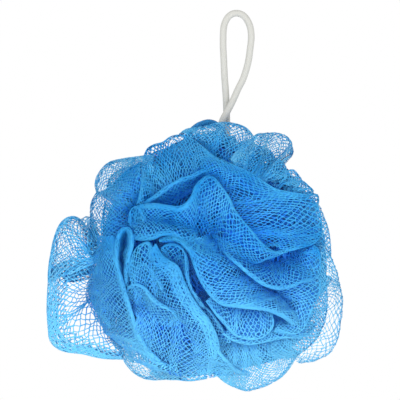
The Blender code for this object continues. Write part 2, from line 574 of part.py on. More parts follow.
def make_netting(group, guides, cutters):
    """All leaves and the packed gathers under them, fused into one skin."""
    front = [sheet("front_" + name, leaf_surface(spec), guides) for name, spec in FRONT_LEAVES.items()]
    sides = [sheet(f"side_{k}", leaf_surface(spec), guides) for k, spec in enumerate(ring_leaves())]
    bpy.ops.mesh.primitive_uv_sphere_add(segments=48, ring_count=24, radius=1.0, location=BALL_CENTRE)
    gathers = bpy.context.object
    gathers.name = "gathers"
    gathers.scale = BALL_HALVES * GATHERS_SHARE
    roll_line = smooth_line(ROLL_ROUTE, np.linspace(0.0, 1.0, ROLL_STEPS))
    roll = tube("roll", on_ball(roll_line), ROLL_DIAMETER / 2, guides)
    bpy.context.view_layer.update()
    shapes = front + sides + [gathers, roll]
    heap = joined("heap", [as_mesh(item, item.name) for item in shapes], guides)
    for item in shapes:
        bpy.data.objects.remove(item)
    skin = heap.modifiers.new("Skin", "REMESH")
    skin.mode = "VOXEL"
    skin.voxel_size = VOXEL
    bpy.context.view_layer.update()
    fused = as_mesh(heap, "netting")
    bpy.data.objects.remove(heap)
    keep_largest_shell(fused)
    netting = bpy.data.objects.new("netting", fused)
    group.objects.link(netting)
    thin = netting.modifiers.new("Facets", "DECIMATE")
    thin.ratio = NETTING_FACES / (2 * len(fused.polygons))
    channel = netting.modifiers.new("Cord_channel", "BOOLEAN")
    channel.operation = "DIFFERENCE"
    channel.solver = "EXACT"
    channel.object = cord_channel(cutters)
    return netting


def cord_points(count):
    """The cord's centre line in metres; its size follows how far the ball hangs below the hook."""
    return smooth_line(CORD_ROUTE, np.linspace(0.0, 1.0, count)) * BALL_CENTRE_BELOW_HOOK / DRAWN_BELOW_HOOK


def cord_channel(cutters):
    """The cord's own route, wider by the clearance and longer by it at its two ends."""
    points = cord_points(CORD_STEPS)
    for end, next_one in ((0, 1), (-1, -2)):
        run = points[end] - points[next_one]
        points[end] += run / np.linalg.norm(run) * CORD_CLEARANCE
    line = tube("channel_line", points, CORD_RADIUS + CORD_CLEARANCE, cutters)
    bpy.context.view_layer.update()
    cutter = bpy.data.objects.new("cord_channel", as_mesh(line, "cord_channel"))
    cutters.objects.link(cutter)
    bpy.data.objects.remove(line)
    cutter.hide_render = True
    cutter.display_type = "WIRE"
    return cutter


def make_cord(group):
    return tube("hanging_cord", cord_points(CORD_STEPS), CORD_RADIUS, group)


def main():
    clear_scene()
    pouf = collection("mesh_bath_pouf")
    cutters = collection("cutters")
    netting = make_netting(pouf, cutters, cutters)
    cord = make_cord(pouf)
    netting.data.materials.append(material("blue_net", (0.07, 0.33, 0.80), 0.45))
    cord.data.materials.append(material("white_cord", (0.74, 0.74, 0.70), 0.75))


main()
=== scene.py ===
import math

import bpy
import numpy as np
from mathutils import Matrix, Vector


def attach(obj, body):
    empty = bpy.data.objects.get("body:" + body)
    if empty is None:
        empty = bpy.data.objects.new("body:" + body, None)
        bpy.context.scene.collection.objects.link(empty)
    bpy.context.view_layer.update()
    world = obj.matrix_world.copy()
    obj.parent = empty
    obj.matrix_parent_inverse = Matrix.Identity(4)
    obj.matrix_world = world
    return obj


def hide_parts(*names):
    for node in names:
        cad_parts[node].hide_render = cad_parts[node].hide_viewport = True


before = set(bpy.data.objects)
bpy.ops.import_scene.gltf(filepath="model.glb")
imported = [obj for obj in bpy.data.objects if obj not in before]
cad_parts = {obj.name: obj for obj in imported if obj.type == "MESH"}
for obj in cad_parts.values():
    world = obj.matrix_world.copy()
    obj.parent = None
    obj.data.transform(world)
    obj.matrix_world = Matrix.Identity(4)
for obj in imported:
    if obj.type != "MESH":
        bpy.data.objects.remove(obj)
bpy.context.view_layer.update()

mm = 0.001


# Camera: straight on, as in the photograph, with a long lens
cameraView = dict(
    distance=2.5,  # metres in front of the hook
    seenWidth=0.2,  # metres across the picture, at the ball's middle
    middle=(-18.25 * mm, -91.8 * mm),  # across and height of the picture's centre
    sensor=36.0,
)


def makeCamera():
    lens = bpy.data.cameras.new("camera")
    lens.sensor_width = cameraView["sensor"]
    lens.lens = cameraView["sensor"] * cameraView["distance"] / cameraView["seenWidth"]
    lens.clip_start = 0.1
    lens.clip_end = 50
    holder = bpy.data.objects.new("camera", lens)
    holder.location = (cameraView["middle"][0], -cameraView["distance"], cameraView["middle"][1])
    holder.rotation_euler = (math.pi / 2, 0, 0)
    bpy.context.scene.collection.objects.link(holder)
    bpy.context.scene.camera = holder


makeCamera()
print("camera set")


# Curves and surfaces, all read as whole arrays

# through(stations, place): Catmull-Rom, 0.5 (2b + (c-a)t + (2a-5b+4c-d)t^2 + (3b-a-3c+d)t^3)
def through(stations, place):
    before = 2 * stations[:1] - stations[1:2]
    after = 2 * stations[-1:] - stations[-2:-1]
    padded = np.concatenate([before, stations, after])
    first = np.minimum(place.astype(int), len(stations) - 2)
    t = (place - first).reshape([-1] + [1] * (stations.ndim - 1))
    a, b, c, d = (padded[first + k] for k in range(4))
    bend = (2 * a - 5 * b + 4 * c - d) * t**2
    return 0.5 * (2 * b + (c - a) * t + bend + (3 * b - a - 3 * c + d) * t**3)


# smoothLine(points, shares): the curve through the points, at shares 0..1 of its length
def smoothLine(points, shares, finely=24):
    points = np.array(points, float)
    spans = len(points) - 1
    line = through(points, np.linspace(0, spans, spans * finely + 1))
    length = np.r_[0, np.cumsum(np.linalg.norm(np.diff(line, axis=0), axis=1))]
    return np.stack([np.interp(shares, length / length[-1], line[:, k]) for k in range(3)], axis=1)


# unit(v) = v / |v|
def unit(vectors):
    return vectors / np.maximum(np.linalg.norm(vectors, axis=-1, keepdims=True), 1e-9)


# gridFaces(rows, columns): the quads of a grid of points, row by row
def gridFaces(rows, columns, closed=False):
    index = np.arange(rows * columns).reshape(rows, columns)
    if closed:
        index = np.concatenate([index, index[:, :1]], axis=1)
    corners = [index[:-1, :-1], index[1:, :-1], index[1:, 1:], index[:-1, 1:]]
    return np.stack(corners, axis=-1).reshape(-1, 4)


# closedTube(faces, rings, around): both ends closed by quads of three ring points and the centre;
# the two centres are the last two points
def closedTube(faces, rings, around):
    first = np.arange(0, around, 2)
    ring = np.stack([first, (first + 1) % around, (first + 2) % around], axis=1)
    centre = np.full((len(first), 1), rings * around)
    head = np.hstack([ring, centre])
    tail = np.hstack([ring[:, ::-1] + (rings - 1) * around, centre + 1])
    return np.vstack([faces[:, ::-1], head[:, ::-1], tail[:, ::-1]])


# meshPiece(name, points, faces, coords): a smooth mesh object, with coords as its map
def meshPiece(name, points, faces, coords=None):
    mesh = bpy.data.meshes.new(name)
    mesh.vertices.add(len(points))
    mesh.vertices.foreach_set("co", np.asarray(points, np.float32).ravel())
    mesh.loops.add(faces.size)
    mesh.loops.foreach_set("vertex_index", faces.astype(np.int32).ravel())
    mesh.polygons.add(len(faces))
    mesh.polygons.foreach_set("loop_start", np.arange(0, faces.size, faces.shape[1], dtype=np.int32))
    mesh.update(calc_edges=True)
    mesh.polygons.foreach_set("use_smooth", np.ones(len(faces), bool))
    if coords is not None:
        layer = mesh.uv_layers.new(name="OFBake")
        layer.uv.foreach_set("vector", coords[faces.ravel()].astype(np.float32).ravel())
    piece = bpy.data.objects.new(name, mesh)
    bpy.context.scene.collection.objects.link(piece)
    return piece


# Shader maths: a socket with operators, and below it the nodes of one material by type
class Value:
    def __init__(self, tree, socket):
        self.tree = tree
        self.socket = socket

    def maths(self, operation, other):
        return self.tree.node("ShaderNodeMath", {"operation": operation}, self, other)

    def __add__(self, other):
        return self.maths("ADD", other)

    def __sub__(self, other):
        return self.maths("SUBTRACT", other)

    def __mul__(self, other):
        return self.maths("MULTIPLY", other)

    __rmul__ = __mul__


class Finish:
    def __init__(self, name):
        self.material = bpy.data.materials.new(name)
        self.material.use_nodes = True
        self.nodes = self.material.node_tree.nodes
        self.links = self.material.node_tree.links
        self.shader = self.nodes["Principled BSDF"]

    # a node by type: its settings, then its sockets by order or by name; one output comes back
    def node(self, kind, settings, *sockets, output=0, **named):
        made = self.nodes.new(kind)
        for key, value in settings.items():
            setattr(made, key, value)
        for place, value in enumerate(sockets):
            self.feed(made.inputs[place], value)
        for name, value in named.items():
            self.feed(made.inputs[name.replace("_", " ")], value)
        return Value(self, made.outputs[output])

    # object coordinates
    def where(self):
        return self.node("ShaderNodeTexCoord", {}, output=3)

    # a number kept at each point of the mesh
    def kept(self, name):
        return self.node("ShaderNodeAttribute", {"attribute_name": name}, output=2)

    def feed(self, socket, value):
        if isinstance(value, Value):
            self.links.new(value.socket, socket)
        else:
            socket.default_value = value

    def set(self, **named):
        for name, value in named.items():
            self.feed(self.shader.inputs[name.replace("_", " ")], value)

    # first + factor (second - first), on colours
    def mix(self, factor, first, second):
        mixer = self.nodes.new("ShaderNodeMix")
        mixer.data_type = "RGBA"
        for place, value in ((0, factor), (6, first), (7, second)):
            if isinstance(value, tuple):
                value = (*value, 1)
            self.feed(mixer.inputs[place], value)
        return Value(self, mixer.outputs[2])

    def noise(self, scale, detail):
        return self.node("ShaderNodeTexNoise", {}, Vector=self.where(), Scale=scale, Detail=detail)

    # start + (end - start) (value - low) / (high - low), held between start and end
    def range(self, value, low, high, start=0.0, end=1.0):
        ends = dict(From_Min=low, From_Max=high, To_Min=start, To_Max=end)
        return self.node("ShaderNodeMapRange", {}, Value=value, **ends)


# Hanging cord: a round braid, both legs going down into the gathered netting
cordLook = dict(
    diameter=3.4,
    length=182.0,
    strands=8,  # carriers in each direction
    pitch=7.5,  # along the cord for one turn of a carrier
    relief=0.13,
    crown=0.7,  # power that makes the crowns of the braid rounder
    around=56,
    perMillimetre=5,
    colour=(0.6, 0.6, 0.565),
    # painted shade: the colour of the braid's grooves, darker than the crowns
    grooveShade=(0.48, 0.48, 0.44),
    cloudiness=0.25,
    fibreHeight=0.08,
)

# centre line from the hook point in metres: across, depth, height
cordRoute = [
    (-0.0042, 0.0034, -0.0838), (-0.0045, 0.0032, -0.0743), (-0.0047, 0.0029, -0.0643),
    (-0.0048, 0.0026, -0.0538), (-0.0049, 0.0024, -0.0498), (-0.0051, 0.0021, -0.0433),
    (-0.0055, 0.0014, -0.0363), (-0.0060, 0.0008, -0.0298), (-0.0064, 0.0004, -0.0208),
    (-0.0067, 0.0001, -0.0133), (-0.0064, 0.0000, -0.0056), (-0.0048, 0.0000, -0.0012),
    (-0.0025, 0.0000, 0.0010), (0.0000, 0.0000, 0.0016), (0.0027, 0.0000, 0.0009),
    (0.0050, 0.0000, -0.0013), (0.0068, 0.0000, -0.0053), (0.0074, 0.0000, -0.0105),
    (0.0068, -0.0001, -0.0163), (0.0058, -0.0003, -0.0230), (0.0035, -0.0007, -0.0308),
    (0.0008, -0.0011, -0.0363), (-0.0019, -0.0016, -0.0423), (-0.0046, -0.0021, -0.0476),
    (-0.0068, -0.0022, -0.0516), (-0.0085, -0.0016, -0.0568), (-0.0097, -0.0008, -0.0643),
    (-0.0102, -0.0003, -0.0743), (-0.0104, 0.0000, -0.0838),
]


# braidHeight(turn, along): carriers left and right over each other, 0 in the grooves and 1 on a crown
# left = n (turn + along / pitch), right = n (turn - along / pitch), height = |sin(pi upper one)| ^ crown
def braidHeight(turn, along):
    left = cordLook["strands"] * (turn + along / cordLook["pitch"])
    right = cordLook["strands"] * (turn - along / cordLook["pitch"])
    over = (np.floor(left) + np.floor(right)) % 2 < 1
    upper = np.where(over, left, right)
    return np.abs(np.sin(math.pi * upper)) ** cordLook["crown"]


# tubeFrame(line): two directions across a line, side = tangent x depth and lift = side x tangent
def tubeFrame(line):
    tangent = unit(np.gradient(line, axis=0))
    side = unit(np.cross(tangent, [0.0, 1.0, 0.0]))
    lift = np.cross(side, tangent)
    return side[:, None], lift[:, None]


# tube(s, a) = line(s) + (R - relief (1 - height)) (side cos a + lift sin a)
def makeCord():
    total = cordLook["length"]
    rings = int(total * cordLook["perMillimetre"])
    line = smoothLine(cordRoute, np.linspace(0, 1, rings))
    side, lift = tubeFrame(line)
    turn = np.linspace(0, 1, cordLook["around"], endpoint=False)
    along = np.linspace(0, total, rings)[:, None]
    height = braidHeight(turn[None], along)
    radius = (cordLook["diameter"] / 2 - cordLook["relief"] * (1 - height)) * mm
    angle = 2 * math.pi * turn[None, :, None]
    points = line[:, None] + radius[..., None] * (side * np.cos(angle) + lift * np.sin(angle))
    points = np.vstack([points.reshape(-1, 3), line[:1], line[-1:]])
    faces = gridFaces(rings, cordLook["around"], closed=True)
    cord = meshPiece("hanging_cord_braid", points, closedTube(faces, rings, cordLook["around"]))
    # how deep each point lies in a groove, which sets the painted groove shade
    mark = cord.data.attributes.new("grooveShade", "FLOAT", "POINT")
    mark.data.foreach_set("value", np.r_[1 - height.ravel(), 0.0, 0.0].astype(np.float32))
    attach(cord, "root")
    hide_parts("hanging_cord")
    return cord


# shade = mix(colour, groove colour, groove depth + cloudiness (cloudy - 0.5)): painted shade in the braid's
# grooves with a random cloudiness, and fine fibres as bump
def cordFinish():
    finish = Finish("white_cord")
    cloudy = finish.noise(scale=900, detail=3)
    dark = finish.kept("grooveShade") + cordLook["cloudiness"] * (cloudy - 0.5)
    shade = finish.mix(finish.range(dark, low=0.15, high=0.95), cordLook["colour"], cordLook["grooveShade"])
    fibre = finish.noise(scale=6000, detail=2)
    rise = cordLook["fibreHeight"] * mm
    bump = finish.node("ShaderNodeBump", {}, Strength=0.25, Distance=rise, Height=fibre)
    finish.set(Base_Color=shade, Roughness=0.8, Normal=bump, Sheen_Weight=0.15)
    return finish.material


cord = makeCord()
cord.data.materials.append(cordFinish())
print("cord made")


# Netting: every ruffle of the gathered tube is a leaf, which runs from deep in the ball to a folded rim.
# The leaves are laid out in millimetres from the ball's middle: across, up, and the lift off its front.
ball = dict(
    halves=np.array([64.0, 57.0, 68.0]),
    middle=np.array([-10.75, 0.0, -119.3]),  # from the hook point
    rootShare=0.68,  # where the leaves end, as a share of its halves,
    nearestRoot=0.95,  # or at this share of their own root line
)

leafMake = dict(
    acrossSteps=90,
    deepSteps=60,
    foldSteps=5,
    foldHeight=2.2,  # the rounded fold along the rim
    puff=1.8,  # how much further apart the two layers stand inside
    turnBack=0.5,  # how much of the back layer is made
    ripple=0.6,
    rippleLength=21.0,
    fewestRipples=1.5,
    fineRipple=(0.5, 2.3),  # a second one: its share of the first, and how much quicker
    rippleTowardsRim=1.3,  # power that moves it out
    rippleAtEnds=0.2,
)


# face(x, z) = halfDepth sqrt(1 - (x / halfWidth)^2 - (z / halfHeight)^2), y = -(face + lift)
def onFront(points):
    x, z, lift = np.array(points, float).T
    inside = 1 - (x / ball["halves"][0]) ** 2 - (z / ball["halves"][2]) ** 2
    face = ball["halves"][1] * np.sqrt(np.clip(inside, 0, 1))
    return np.stack([x, -(face + lift), z], axis=1)


# leaf: a front leaf, whose belly stands forward by the bulge
def leaf(rim, root, bulge, **look):
    return dict(rim=onFront(rim), root=onFront(root), bulge=bulge, forward=True, **look)


# near in a leaf sets its painted shade and light: under 1 darker, over 1 a paler painted backlight
frontLeaves = {
    "top_lobe": leaf(
        rim=[(-17.5, 59.5, -3), (-14.5, 62, -1), (-10, 63, 0), (-4, 64, 0), (2, 65.5, 0), (7.5, 65.5, 0),
            (12.5, 64.5, 0), (16.5, 62, -1), (19.5, 57.5, -3)],
        root=[(-12.5, 57.5, -10), (-7.5, 54.5, -12), (-0.5, 50, -12), (7, 45.5, -10), (12.5, 46, -9)],
        bulge=6, turnBack=0.4, near=1.25),
    "left_fan": leaf(
        rim=[(-38.5, 25, 2), (-37, 32.5, 2), (-36.5, 40, 1), (-36, 47, 0), (-34, 52, -1), (-30, 55, 0),
            (-26, 56, 0), (-22.5, 58.5, 0), (-18.5, 59.5, 0), (-14, 59, 1), (-9.5, 56.5, 2), (-4, 52, 3),
            (1, 47.5, 3)],
        root=[(-36.5, 25, -4), (-34, 26, -6), (-31, 28, -7), (-27.5, 30.5, -8), (-23.5, 33.5, -9),
            (-19, 35.5, -9), (-12.5, 38.5, -8), (-4.5, 42.5, -6)],
        bulge=3, turnBack=0.3, cell=1.1, near=1.06),
    "cup_far": leaf(
        rim=[(-36, 25.5, 0), (-33, 27, 2), (-30, 29, 3), (-26.5, 32, 4), (-22, 35, 4), (-17, 37.5, 4),
            (-11.5, 39.5, 4), (-6.5, 42, 4), (-1.5, 43.5, 3)],
        root=[(-32.5, 24.5, -10), (-27.5, 23.5, -13), (-22.5, 23, -15), (-17.5, 23.5, -16),
            (-12.5, 26.5, -17), (-7.5, 32.5, -15)], bulge=-2),
    "cup_near": leaf(
        rim=[(-38, 25, 2), (-31.5, 26, 4), (-26.5, 25.5, 5), (-21.5, 24.5, 6), (-17.5, 24.5, 6),
            (-14, 26.5, 6), (-11.5, 30, 6), (-9.5, 34.5, 6), (-6.5, 38, 5), (-3, 40, 4)],
        root=[(-40, 16, -8), (-32.5, 16.5, -8), (-24.5, 16, -8), (-15.5, 12, -8), (-8.5, 8.5, -12),
            (-1.5, 4.5, -14)], bulge=3, bandIn=2),
    "pleat_row": leaf(
        rim=[(-39.5, 8, 4), (-34.5, 7.5, 5), (-30, 8.5, 6), (-25.5, 10.5, 6), (-20.5, 9.5, 6),
            (-15.5, 6, 6), (-11, 0.5, 5)],
        root=[(-39.5, 16.5, -6), (-32.5, 17.5, -7), (-25, 17, -8), (-16.5, 15, -6), (-9, 11, -8)],
        bulge=4, bandIn=1.5),
    "hairpin": leaf(
        rim=[(-45.5, -14.5, 3), (-48, -5.5, 6), (-48.5, 3, 7), (-47.5, 10, 8), (-45, 13.5, 8),
            (-42.5, 13, 8), (-41, 9.5, 8), (-41, 4.5, 7), (-42.5, -2, 6), (-43.5, -8, 5),
            (-43.5, -14.5, 3)],
        root=[(-45, -14.5, -9), (-46.5, -5.5, -12), (-47, 3, -14), (-46, 8.5, -14), (-44.5, 10.5, -14),
            (-43, 9.5, -14), (-42.5, 6.5, -14), (-43, 2.5, -14), (-44, -2.5, -14), (-44.5, -8, -12),
            (-44, -14.5, -9)], bulge=0, bandIn=2.5),
    "lower_fan": leaf(
        rim=[(-49.5, 9.5, 3), (-48.5, 0.5, 5), (-47, -7.5, 6), (-45, -14.5, 7), (-42.5, -22.5, 7),
            (-40, -31.5, 7), (-37, -39.5, 6), (-32.5, -47, 4), (-26, -53, 1), (-19, -57, -3),
            (-12.5, -59.5, -9)],
        root=[(-56, 9.5, -9), (-58.5, 0.5, -9), (-60.5, -8.5, -9), (-62, -17.5, -9), (-60.5, -25.5, -9),
            (-56.5, -32.5, -9), (-49.5, -39.5, -9), (-43, -45.5, -8), (-36, -50.5, -7), (-27.5, -54.5, -7),
            (-19.5, -56.5, -11)], bulge=7, turnBack=1, cell=1, band=0.9, bandIn=2),
    "flap_upper": leaf(
        rim=[(-59, 1.5, 0), (-61.5, 6.5, 2), (-64.5, 12, 4), (-67.5, 17, 5), (-71.5, 19, 6),
            (-75.5, 17.5, 7), (-78.5, 13, 7), (-80.5, 6.5, 8), (-82, -0.5, 8), (-83, -7.5, 7),
            (-83, -13.5, 5)],
        root=[(-58.5, 1.5, -2), (-58, -3.5, -2)],
        bulge=4, cell=1.25, band=1.6, bandIn=2.2, thread=1.15, near=1.4),
    "flap_lower": leaf(
        rim=[(-71.5, -3.5, 2), (-78.5, -5, 4), (-82.5, -9.5, 5), (-83.5, -18, 6), (-84, -26.5, 6),
            (-83.5, -35, 6), (-82.5, -42.5, 6), (-79, -46.5, 5), (-74, -48.5, 4), (-66, -49.5, 3),
            (-57, -51.5, 2), (-46, -52, 0)],
        root=[(-59, -3.5, -3), (-60.5, -10.5, -4), (-62, -18.5, -5), (-60.5, -25.5, -5), (-57, -32, -5),
            (-52.5, -38.5, -5), (-47, -46.5, -4)],
        bulge=4, turnBack=0.3, cell=1.45, band=0.8, bandIn=5.5, thread=1.25, near=1.4),
    "flap_far": leaf(
        rim=[(-67.5, 17.5, -4), (-63.5, 19, -5), (-61, 17, -6), (-60, 9.5, -7)],
        root=[(-60, 3.5, -8), (-58, 4.5, -8)], bulge=1, turnBack=1, cell=1.05, band=0.4, near=1.45),
    "left_lobe": leaf(
        rim=[(-58.5, 31, -2), (-61, 27, 0), (-62, 21, 0), (-62, 14.5, 0), (-61.5, 8, -1), (-59, 2, -3)],
        root=[(-45.5, 25.5, -10), (-46.5, 14.5, -12), (-48.5, 4, -12)],
        bulge=5, turnBack=0.2, cell=1.2, near=1.15),
    "left_inner": leaf(
        rim=[(-54.5, 26.5, -1), (-55.5, 19.5, 0), (-56, 12.5, 0), (-55.5, 6, 0), (-54, 0.5, -1)],
        root=[(-43, 24.5, -10), (-42, 14.5, -12), (-44, 3.5, -12)], bulge=4),
    "top_left_lobe": leaf(
        rim=[(-58.5, 30.5, -1), (-59.5, 34.5, 0), (-58.5, 39, 0), (-56, 43, 0), (-52.5, 46, 0),
            (-48, 47.5, 0), (-42.5, 48.5, 0), (-36.5, 49, -1), (-30, 49.5, -4)],
        root=[(-44.5, 23.5, -8), (-41.5, 28, -9), (-38, 32, -9), (-34, 35.5, -10), (-29.5, 38.5, -11)],
        bulge=6, near=1.3),
    "top_left_inner": leaf(
        rim=[(-57, 31.5, 1), (-53, 33.5, 2), (-49, 36.5, 3), (-45.5, 40, 3), (-42, 43, 3), (-36.5, 46, 1)],
        root=[(-46.5, 23.5, -6), (-43, 25, -6), (-39.5, 27.5, -6), (-35, 31.5, -6)], bulge=4),
    "bottom_left_lobe": leaf(
        rim=[(-47.5, -48.5, -3), (-45.5, -51.5, -1), (-43, -55.5, 0), (-39.5, -59, 0), (-35, -61.5, 0),
            (-28.5, -62, 0), (-22.5, -61.5, 0), (-17, -61, 0)],
        root=[(-38.5, -40, -8), (-34.5, -42.5, -9), (-29.5, -45.5, -10), (-23.5, -48.5, -10),
            (-17.5, -50.5, -10)], bulge=5, turnBack=0.15, cell=1.4, near=1.4),
    "small_lobe": leaf(
        rim=[(-43, 16.5, 1), (-42, 22, 2), (-39, 24.5, 3), (-36, 22.5, 3), (-34.5, 17.5, 2)],
        root=[(-40, 10.5, -9), (-36.5, 11, -9)], bulge=2, near=1.02),
    "inner_petal": leaf(
        rim=[(-42, -6.5, 3), (-41, -1.5, 4), (-39.5, 3, 5), (-36.5, 6, 6), (-32.5, 7, 6), (-30, 3, 6)],
        root=[(-37.5, -22.5, -5), (-31.5, -24, -5), (-25, -22.5, -6)], bulge=4),
    "slit_left": leaf(
        rim=[(-29, 6, 5), (-26, 1, 5), (-22, -2, 6), (-18, -5, 7), (-15.5, -11, 7), (-12.5, -17.5, 7),
            (-8.5, -24, 6), (-3.5, -30, 5), (0, -36.5, 4), (2, -43.5, 3), (1.5, -50.5, 1), (-1, -57.5, -3)],
        root=[(-34, -1.5, -3), (-31, -9, -3), (-27, -16.5, -3), (-23, -23, -3), (-18, -28.5, -3),
            (-13, -34, -3), (-10, -41, -3), (-9, -48.5, -3), (-8, -55.5, -5)],
        bulge=4, band=1.2, bandIn=5.5),
    "big_band": leaf(
        rim=[(-27.5, 8, 5), (-22.5, 9, 7), (-17.5, 7, 8), (-13, 2, 9), (-10.5, -5, 9), (-7, -13, 9),
            (-2, -20, 9), (3.5, -24, 8), (10.5, -25, 8), (18.5, -26, 7), (25.5, -27, 6), (32.5, -30, 5),
            (38, -34, 4)],
        root=[(-5, 7.5, -6), (0, 1.5, -6), (6.5, -2.5, -5), (12.5, -9, -5), (21.5, -16.5, -5),
            (30, -21.5, -6), (36.5, -27, -7), (39, -32.5, -7)], bulge=4, bandIn=1.5),
    "bag": leaf(
        rim=[(-4.5, -22, 4), (0, -28, 6), (4.5, -33.5, 7), (8.5, -38, 7), (13.5, -40.5, 7), (20, -41, 7),
            (25.5, -38.5, 6), (28.5, -34.5, 4), (28, -29.5, 0), (25.5, -25, -5)],
        root=[(0, -17.5, -8), (10, -20.5, -10), (20, -22.5, -10), (26.5, -26, -10)], bulge=3),
    "right_low_leaf": leaf(
        rim=[(-2, 10, -12), (2.5, 4, -5), (6.5, -0.5, 1), (11.5, -4.5, 4), (17.5, -9.5, 5), (23.5, -14, 6),
            (30, -16, 6), (36.5, -15.5, 6), (42.5, -13, 6), (48, -12, 6), (51.5, -9.5, 5), (52, -3.5, 4),
            (51.5, 2.5, 3), (48.5, 5.5, 2)],
        root=[(12.5, 1.5, -10), (21.5, -3.5, -14), (30, -4.5, -14), (37.5, -1.5, -12), (42.5, 2.5, -10)],
        bulge=3),
    "centre_leaf": leaf(
        rim=[(-8, 36, 4), (-4.5, 39, 5), (-0.5, 38.5, 6), (3, 34.5, 7), (7, 28.5, 8), (9.5, 23, 8),
            (14, 17, 8), (18.5, 12, 8), (23.5, 6, 7), (29, 2.5, 5), (35.5, 2.5, 3)],
        root=[(-9.5, 29, -6), (-9.5, 23.5, -7), (-7, 18.5, -8), (-3, 14, -8), (1, 9.5, -8), (4.5, 4, -6),
            (11.5, 0.5, -2), (19.5, -1, -2), (27.5, 1, -4)], bulge=4),
    "right_leaf": leaf(
        rim=[(-6, 48.5, -1), (-2, 49, 2), (2, 47.5, 4), (7, 45.5, 5), (12.5, 43, 5), (18.5, 40, 5),
            (24.5, 36, 5), (30, 33, 5), (37.5, 31.5, 4), (45, 30, 4), (49.5, 26, 4), (51.5, 21, 4),
            (52.5, 15, 4), (51.5, 9, 4), (48, 5.5, 4), (42.5, 4, 4), (36.5, 2.5, 3)],
        root=[(-6, 39.5, -6), (-1.5, 38.5, -4), (3.5, 33.5, -4), (7.5, 26, -5), (12.5, 17.5, -6),
            (17.5, 11.5, -6), (23.5, 4.5, -6)], bulge=5, turnBack=0.35, cell=1.1),
    "upper_right_a": leaf(
        rim=[(7, 47.5, -3), (12.5, 53.5, -3), (17.5, 57.5, -3), (20.5, 60, -1), (24, 60.5, 0),
            (27.5, 61, 0), (32, 60.5, 0), (36, 58.5, 0), (38.5, 54.5, 0), (38, 50.5, -1), (33, 47, -3)],
        root=[(11.5, 41.5, -8), (15.5, 39.5, -8), (19.5, 37.5, -8), (24.5, 35, -8)],
        bulge=4, band=0.8, near=1.35),
    "upper_right_b": leaf(
        rim=[(31, 47.5, 0), (34.5, 44.5, 1), (35, 41, 1), (32, 37.5, 0)],
        root=[(23.5, 37, -6), (25.5, 35, -6)], bulge=2, near=1.15),
    "upper_right_c": leaf(
        rim=[(34, 41.5, 0), (38, 42.5, 1), (41, 40, 1), (42.5, 37, 0), (40.5, 33.5, 0)],
        root=[(28.5, 34.5, -6), (31.5, 33, -6)], bulge=2, near=1.15),
    "upper_right_d": leaf(
        rim=[(42, 37.5, -1), (45.5, 35, 0), (48.5, 31.5, 0), (46.5, 29, 0)],
        root=[(36.5, 32.5, -6), (38.5, 31, -6)], bulge=2, near=1.15),
    "upper_right_e": leaf(
        rim=[(46.5, 31, 0), (50.5, 30, 1), (51, 25.5, 1), (49, 22.5, 0)],
        root=[(42.5, 30, -5), (44, 28, -5)], bulge=1, near=1.15),
    "right_edge": leaf(
        rim=[(47.5, 27, -3), (51.5, 24.5, -3), (54, 19, -2), (56, 13, -2), (57, 6, -2), (57.5, -1.5, -3)],
        root=[(43.5, 25, -10), (46.5, 15, -12), (48, 2.5, -12)], bulge=2, band=0.25, near=1.3),
    "right_lobe": leaf(
        rim=[(53.5, 5.5, -2), (57.5, -1, -1), (60.5, -8.5, -1), (62.5, -16.5, -1), (63.5, -23.5, -1),
            (63, -31.5, -1), (62, -38.5, -1), (60, -44.5, -1), (57.5, -48.5, -1), (53, -51.5, -1),
            (47.5, -53, -1), (42, -53.5, -2)],
        root=[(46.5, -0.5, -8), (48.5, -12.5, -8), (48.5, -22.5, -8), (46.5, -31.5, -8), (42.5, -39.5, -8),
            (36.5, -44.5, -8)], bulge=3, turnBack=0.12, cell=1.5, band=0.25, near=1.6),
    "right_face": leaf(
        rim=[(49.5, 4.5, -2), (53.5, -3.5, -1), (55, -13.5, -1), (55.5, -23.5, 0), (54.5, -32.5, 0),
            (51.5, -39.5, 0), (46.5, -45.5, 0), (40.5, -49.5, -1), (34, -51, -3), (27.5, -50.5, -5)],
        root=[(42.5, -3.5, -9), (44.5, -13.5, -10), (43.5, -23.5, -10), (39.5, -32.5, -10),
            (33.5, -39.5, -10), (26.5, -41.5, -10)], bulge=3, cell=0.95, band=0.25, near=1.2),
    "right_dark": leaf(
        rim=[(51.5, -10.5, 1), (52, -16.5, 2), (50, -22, 3), (48, -26.5, 4), (46, -31.5, 4), (43.5, -36, 4),
            (39.5, -38.5, 4), (34.5, -38.5, 3), (28.5, -37.5, 1)],
        root=[(30.5, -13.5, -10), (34.5, -19.5, -12), (35.5, -24.5, -12), (34.5, -29.5, -12),
            (30.5, -32.5, -10)], bulge=3),
    "bottom_right_lobe": leaf(
        rim=[(-0.5, -58, -1), (4.5, -62.5, 0), (9.5, -65.5, 0), (15, -67.5, 0), (21, -66.5, 0),
            (27.5, -64, 0), (33.5, -60, 0), (38, -54.5, -1), (41.5, -48.5, -4)],
        root=[(1.5, -45, -8), (10.5, -46.5, -8), (20.5, -46.5, -8), (30.5, -42.5, -9)],
        bulge=4, turnBack=1, cell=1, band=0.8, near=1.2),
    "lower_band": leaf(
        rim=[(3.5, -38, 3), (8.5, -41.5, 4), (15, -43.5, 4), (21.5, -43, 4), (28.5, -41.5, 4),
            (35.5, -40.5, 4), (41.5, -41, 3), (46.5, -38.5, 1), (50.5, -33.5, -3)],
        root=[(10.5, -33.5, -6), (23.5, -35.5, -7), (35, -35.5, -6), (41.5, -32.5, -8)], bulge=2),
    "bottom_fan": leaf(
        rim=[(-4, -60.5, -1), (-11.5, -62, 0), (-17.5, -61.5, 0), (-24, -61.5, 0), (-29.5, -59, 1),
            (-34, -53.5, 2), (-37.5, -45.5, 4), (-40, -37.5, 4)],
        root=[(-7.5, -37.5, -3), (-12.5, -31.5, -4), (-18.5, -27, -5), (-24.5, -24.5, -6), (-30.5, -23, -6),
